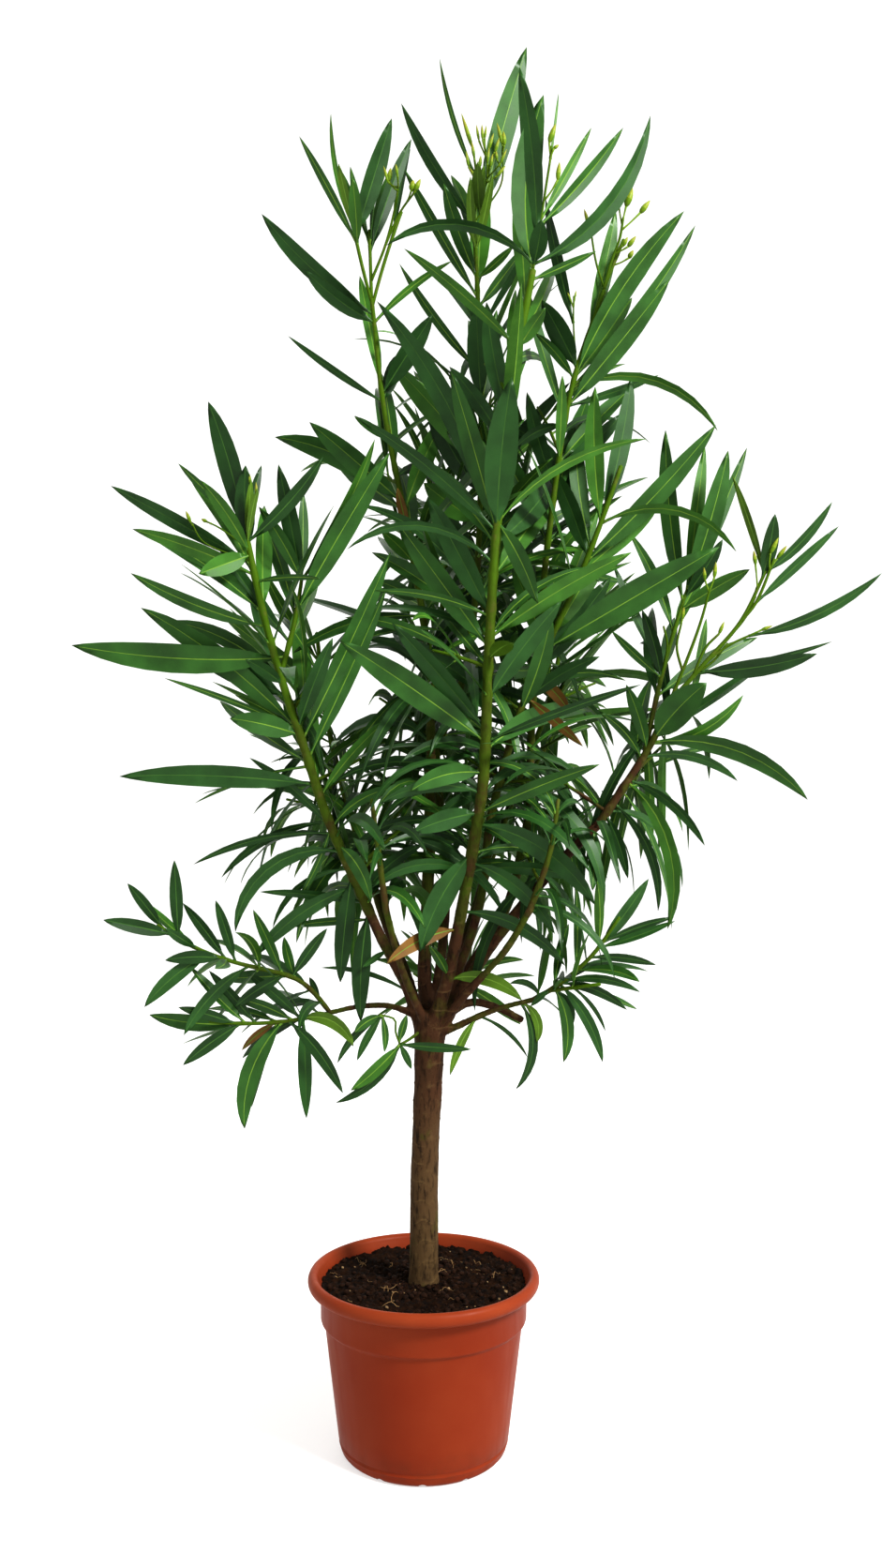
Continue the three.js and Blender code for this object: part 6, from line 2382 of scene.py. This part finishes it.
@dataclass
class Soil:
    """The crumbly soil in the pot, with loose crumbs, pale fibres and bits of bark on it.

    Attributes:
        pot: the pot that holds it.
        top: height of its middle.
        edge_rise: how much higher its edge lies.
        bottom: height of its underside.
        mound: height, distance and width of the low ridge about the trunk's foot.
        relief: how many lumps fit in a millimetre and how high they are, coarse ones first.
        rings: how many rings its top has.
        steps: how many steps go round it.
        crumbs: how many loose crumbs lie on it.
        fibres: how many fibres.
        chips: how many pale bits.
    """

    pot: Pot
    top: float = 141.0
    edge_rise: float = 1.5
    bottom: float = 40.0
    mound: Triple = (1.6, 15.0, 10.0)
    relief: tuple[Pair, ...] = ((0.09, 2.4), (0.22, 3.6), (0.5, 1.9), (1.1, 0.8))
    rings: int = 58
    steps: int = 220
    crumbs: int = 620
    fibres: int = 30
    chips: int = 34

    @property
    def reach(self) -> float:
        """Returns its radius at the top."""
        return self.pot.band[0] - self.pot.wall + 1.6

    def height(self, x: float, y: float) -> float:
        """Returns how high its surface lies.

        Args:
            x: place along X, in millimetres.
            y: place along Y, in millimetres.

        Returns:
            The height, in millimetres.
        """
        out = math.hypot(x, y)
        high, far, wide = self.mound
        plain = self.top + self.edge_rise * min(1.0, out / self.reach) ** 3
        mound = high * math.exp(-(((out - far) / wide) ** 2))
        return plain + mound + sum(noise.noise(Vector((x, y, 0.0)) * fine) * lift for fine, lift in self.relief)

    def body(self) -> Piece:
        """Returns the body of the soil."""
        inside = self.pot.wall + 0.3
        slope = [(self.reach * i / self.rings, self.top) for i in range(self.rings + 1)]
        wall = [(self.pot.radius(z) - inside, z) for z in (110, 80, self.bottom)]
        bm = turned([*slope, (self.pot.band[0] - inside, self.top - 9), *wall, (0, self.bottom)], self.steps)
        for corner in bm.verts:
            if corner.co.z > (self.top - 0.5) * MM:
                corner.co.z = self.height(corner.co.x / MM, corner.co.y / MM) * MM
        return drawn("potting_soil", bm, [EARTH_FINISH.make()])

    def spot(self, dice: Dice, inner: float, outer: float) -> Vector:
        """Returns a place on its surface.

        Args:
            dice: the dice.
            inner: least distance from the middle.
            outer: greatest distance from the middle.

        Returns:
            The place, in millimetres.
        """
        out = math.sqrt(dice.between(inner**2, outer**2))
        turn = dice.throw() * math.tau
        x, y = out * math.cos(turn), out * math.sin(turn)
        return Vector((x, y, self.height(x, y)))

    def scatter(self, name: str, count: int, size: Pair, finish: PlainFinish, seed: int, near: float = 0.0) -> Piece:
        """Strews lumps over the soil.

        Args:
            name: the piece's name.
            count: how many there are.
            size: least and greatest radius, in millimetres.
            finish: their finish.
            seed: start of the dice.
            near: share of them that lies about the trunk's foot.

        Returns:
            The lumps as one piece.
        """
        dice = Dice(seed)
        forms = [Form.crumb(1, dice, 0.22) for _ in range(4)]
        heap = Heap()
        for _ in range(count):
            inner, outer = BY_TRUNK if dice.throw() < near else (18.0, self.reach - 4)
            spot = self.spot(dice, inner, outer)
            radius = size[0] + (size[1] - size[0]) * dice.throw() ** 2.5
            form = dice.pick(forms)
            turn = Matrix.Rotation(dice.throw() * math.tau, 3, "Z") @ Matrix.Rotation(dice.about(0.8), 3, "X")
            corners = form.points * radius @ np.array(turn).T + np.array(spot[:]) + [0, 0, radius * 0.25]
            heap.add(form, corners * MM)
        return heap.piece(name, [finish.make()])

    def fibre_piece(self) -> Piece:
        """Returns the pale root fibres that curl over the soil."""
        dice = Dice(FIBRE["seed"])
        heap = Heap()
        steps = FIBRE["steps"]
        for _ in range(self.fibres):
            spot = self.spot(dice, 18, self.reach - 8)
            heading, bend = dice.throw() * math.tau, dice.about(FIBRE["bend"])
            points = []
            length = dice.between(*FIBRE["length"]) / steps
            hump = dice.between(*FIBRE["hump"])
            for i in range(steps + 1):
                height = self.height(spot.x, spot.y)
                points.append(Vector((spot.x, spot.y, height + 0.2 + hump * math.sin(math.pi * i / steps))))
                heading += bend + dice.about(FIBRE["wander"])
                spot = spot + Vector((math.cos(heading), math.sin(heading), 0)) * length
                if spot.xy.length > self.reach - 3:
                    spot.xy *= (self.reach - 3) / spot.xy.length
                    heading += FIBRE["turn_back"]
            form = tube(5, len(points))
            heap.add(form, along_path(form, points, [dice.between(*FIBRE["thick"])] * len(points)))
        return heap.piece("root_fibres", [FIBRE_FINISH.make()])


# The room


@dataclass
class Studio:
    """A plain pale sweep of floor and wall, soft lights and the camera at the picture's angle.

    Attributes:
        floor: radius of the level floor, in metres.
        wall: radius of the upright wall.
        height: height of the wall.
        pale: colour of the sweep.
        glow: how strongly it shines by itself.
        lamps: each light's name, place, size in metres and power in watts.
        aim: height that the lights face.
        room: strength of the light from all round.
        look: the picture's exposure and gamma.
        sensor: height of the camera's sensor, in millimetres.
    """

    floor: float = 5.0
    wall: float = 7.0
    height: float = 11.0
    pale: str = "B4B4B2"
    glow: float = 0.56
    lamps: tuple[tuple[str, Triple, float, float], ...] = (
        ("key", (2.0, -1.7, 2.6), 0.8, 190),
        ("fill", (-2.2, -1.4, 1.6), 2.2, 2),
        ("back", (-0.4, 2.3, 2.4), 1.6, 20),
    )
    aim: float = 0.55
    room: float = 0.5
    look: Pair = (0.12, 0.8)
    sensor: float = 36.0

    def sweep(self) -> Piece:
        """Returns the floor, its curve and the wall."""
        cove = self.wall - self.floor
        profile = [(0, 0), (0.4, 0), (1.2, 0), (self.floor, 0)]
        profile += arc_points((self.floor, cove), (cove, cove), -90, 0, 24)[1:]
        profile += [(self.wall, self.height)]
        bm = turned([(radius / MM, height / MM) for radius, height in profile], 96)
        outward = [f for f in bm.faces if f.calc_center_median().dot(f.normal) > 0 or f.normal.z < -0.5]
        bmesh.ops.reverse_faces(bm, faces=outward)
        nodes = Shading("pale_sweep")
        nodes.set(Base_Color=self.pale, Roughness=1.0, Specular_IOR_Level=0.0)
        nodes.set(Emission_Color="FFFFFF", Emission_Strength=self.glow)
        return drawn("sweep", bm, [nodes.material])

    def light(self, name: str, place: Triple, size: float, power: float) -> None:
        """Hangs a square white light that faces the crown.

        Args:
            name: its name.
            place: where it hangs, in metres.
            size: its side.
            power: its power, in watts.
        """
        data = bpy.data.lights.new(name, "AREA")
        data.size, data.energy = size, power
        lamp = bpy.data.objects.new(name, data)
        lamp.location = place
        lamp.rotation_euler = (UP * self.aim - Vector(place)).to_track_quat("-Z", "Y").to_euler()
        bpy.context.scene.collection.objects.link(lamp)

    def camera(self) -> None:
        """Sets up the camera, level, where the picture was taken from."""
        data = bpy.data.cameras.new("camera")
        data.sensor_fit = "VERTICAL"
        data.sensor_height = self.sensor
        data.lens = self.sensor * FOCUS / PICTURE[1]
        data.clip_end = 60.0
        camera = bpy.data.objects.new("camera", data)
        camera.location = [c * MM for c in EYE]
        camera.rotation_euler = (math.pi / 2, 0, 0)
        bpy.context.scene.collection.objects.link(camera)
        bpy.context.scene.camera = camera

    def make(self) -> None:
        """Builds the room."""
        self.sweep()
        for lamp in self.lamps:
            self.light(*lamp)
        world = bpy.data.worlds.new("soft_room")
        world.use_nodes = True
        air = world.node_tree.nodes["Background"].inputs
        air["Color"].default_value, air["Strength"].default_value = linear("FFFFFF"), self.room
        bpy.context.scene.world = world
        view = bpy.context.scene.view_settings
        view.view_transform, (view.exposure, view.gamma) = "Standard", self.look
        self.camera()


LEAF_FINISHES = (
    LeafFinish("leaf_deep", "1D3C15"),
    LeafFinish("leaf_dark", "25481C"),
    LeafFinish("leaf_mid", "2D531E"),
    LeafFinish("leaf_bright", "38621E"),
    LeafFinish("leaf_young", "486415"),
    LeafFinish("leaf_withered", "6D4F20", 0.6),
)
MIDRIB_FINISH = PlainFinish("midrib", "6F8D36", "5B7B2D", 0.42, 60.0)
OLD_MIDRIB_FINISH = PlainFinish("old_midrib", "44662D", "365826", 0.45, 60.0)
UNDERSIDE_FINISH = PlainFinish("leaf_underside", "365B19", "2C4F14", 0.55, 60.0)
BARK_FINISH = BarkFinish(
    "bark", foot="524028", upper="422A18", olive="3D410E", fresh="435F06", scar="715C3B", dark="180E06"
)
BUD_FINISHES = (
    PlainFinish("bud_stalk", "54700F", "688219", 0.45, 90.0),
    PlainFinish("bud_side", "6C7E1E", "7E8C2A", 0.4, 120.0),
    PlainFinish("bud_tip", "7E8A2A", "827E2C", 0.42, 120.0),
)
# The pot's pale colour also paints the highlight on the lip.
POT_FINISH = PlasticFinish("terracotta_plastic", colour="782D14", pale="8A4224", dusty="562F1B", rim=0.139)
# The earth's dark colour paints the shade in the hollows of the soil's relief.
EARTH_FINISH = EarthFinish("earth_with_painted_shade", dark="0D0502", pale="2D1909", bits="53371D")
CRUMB_FINISH = PlainFinish("earth_crumb", "180A02", "301B0D", 0.85, 300.0)
CHIP_FINISH = PlainFinish("pale_chip", "927A59", "6D573B", 0.75, 300.0)
FIBRE_FINISH = PlainFinish("root_fibre", "6B5134", "947852", 0.7, 200.0)


def dress(piece: Piece, slot: str, *nodes: str) -> None:
    """Attaches a finished piece to the body, hides the solids that it replaces and logs its triangles.

    Args:
        piece: the piece.
        slot: the name of the record's material slot; not used.
        nodes: the solids that it replaces.
    """
    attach(piece, BODY)
    if nodes:
        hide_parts(*nodes)
    triangles = sum(len(face.vertices) - 2 for face in piece.data.polygons)
    log.info("%s: %d triangles", piece.name, triangles)


def main() -> None:
    """Builds the oleander from its wood outwards."""
    crown = Crown(LeafForm())
    crown.grow()
    log.info("%d leaves, %d stems, %d buds", len(crown.leaves.corners), len(crown.stems), len(crown.buds))
    foliage = Foliage(crown)
    dress(Wood(crown.limbs).make(), "trunk_bark", "trunk", *LIMBS)
    dress(foliage.leaves(), "foliage", *MASSES, "hanging_sprig")
    dress(foliage.stems(), "foliage", *MASSES)
    dress(foliage.buds(), "foliage")
    pot = Pot()
    dress(pot.make(), "pot", "pot")
    soil = Soil(pot)
    dress(soil.body(), "soil", "soil")
    dress(soil.scatter("soil_crumbs", soil.crumbs, CRUMB_SIZE, CRUMB_FINISH, CRUMB_SEED, 0.3), "soil")
    dress(soil.scatter("pale_chips", soil.chips, CHIP_SIZE, CHIP_FINISH, CHIP_SEED), "soil")
    dress(soil.fibre_piece(), "soil")
    Studio().make()
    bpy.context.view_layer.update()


if __name__ == "__main__":
    main()
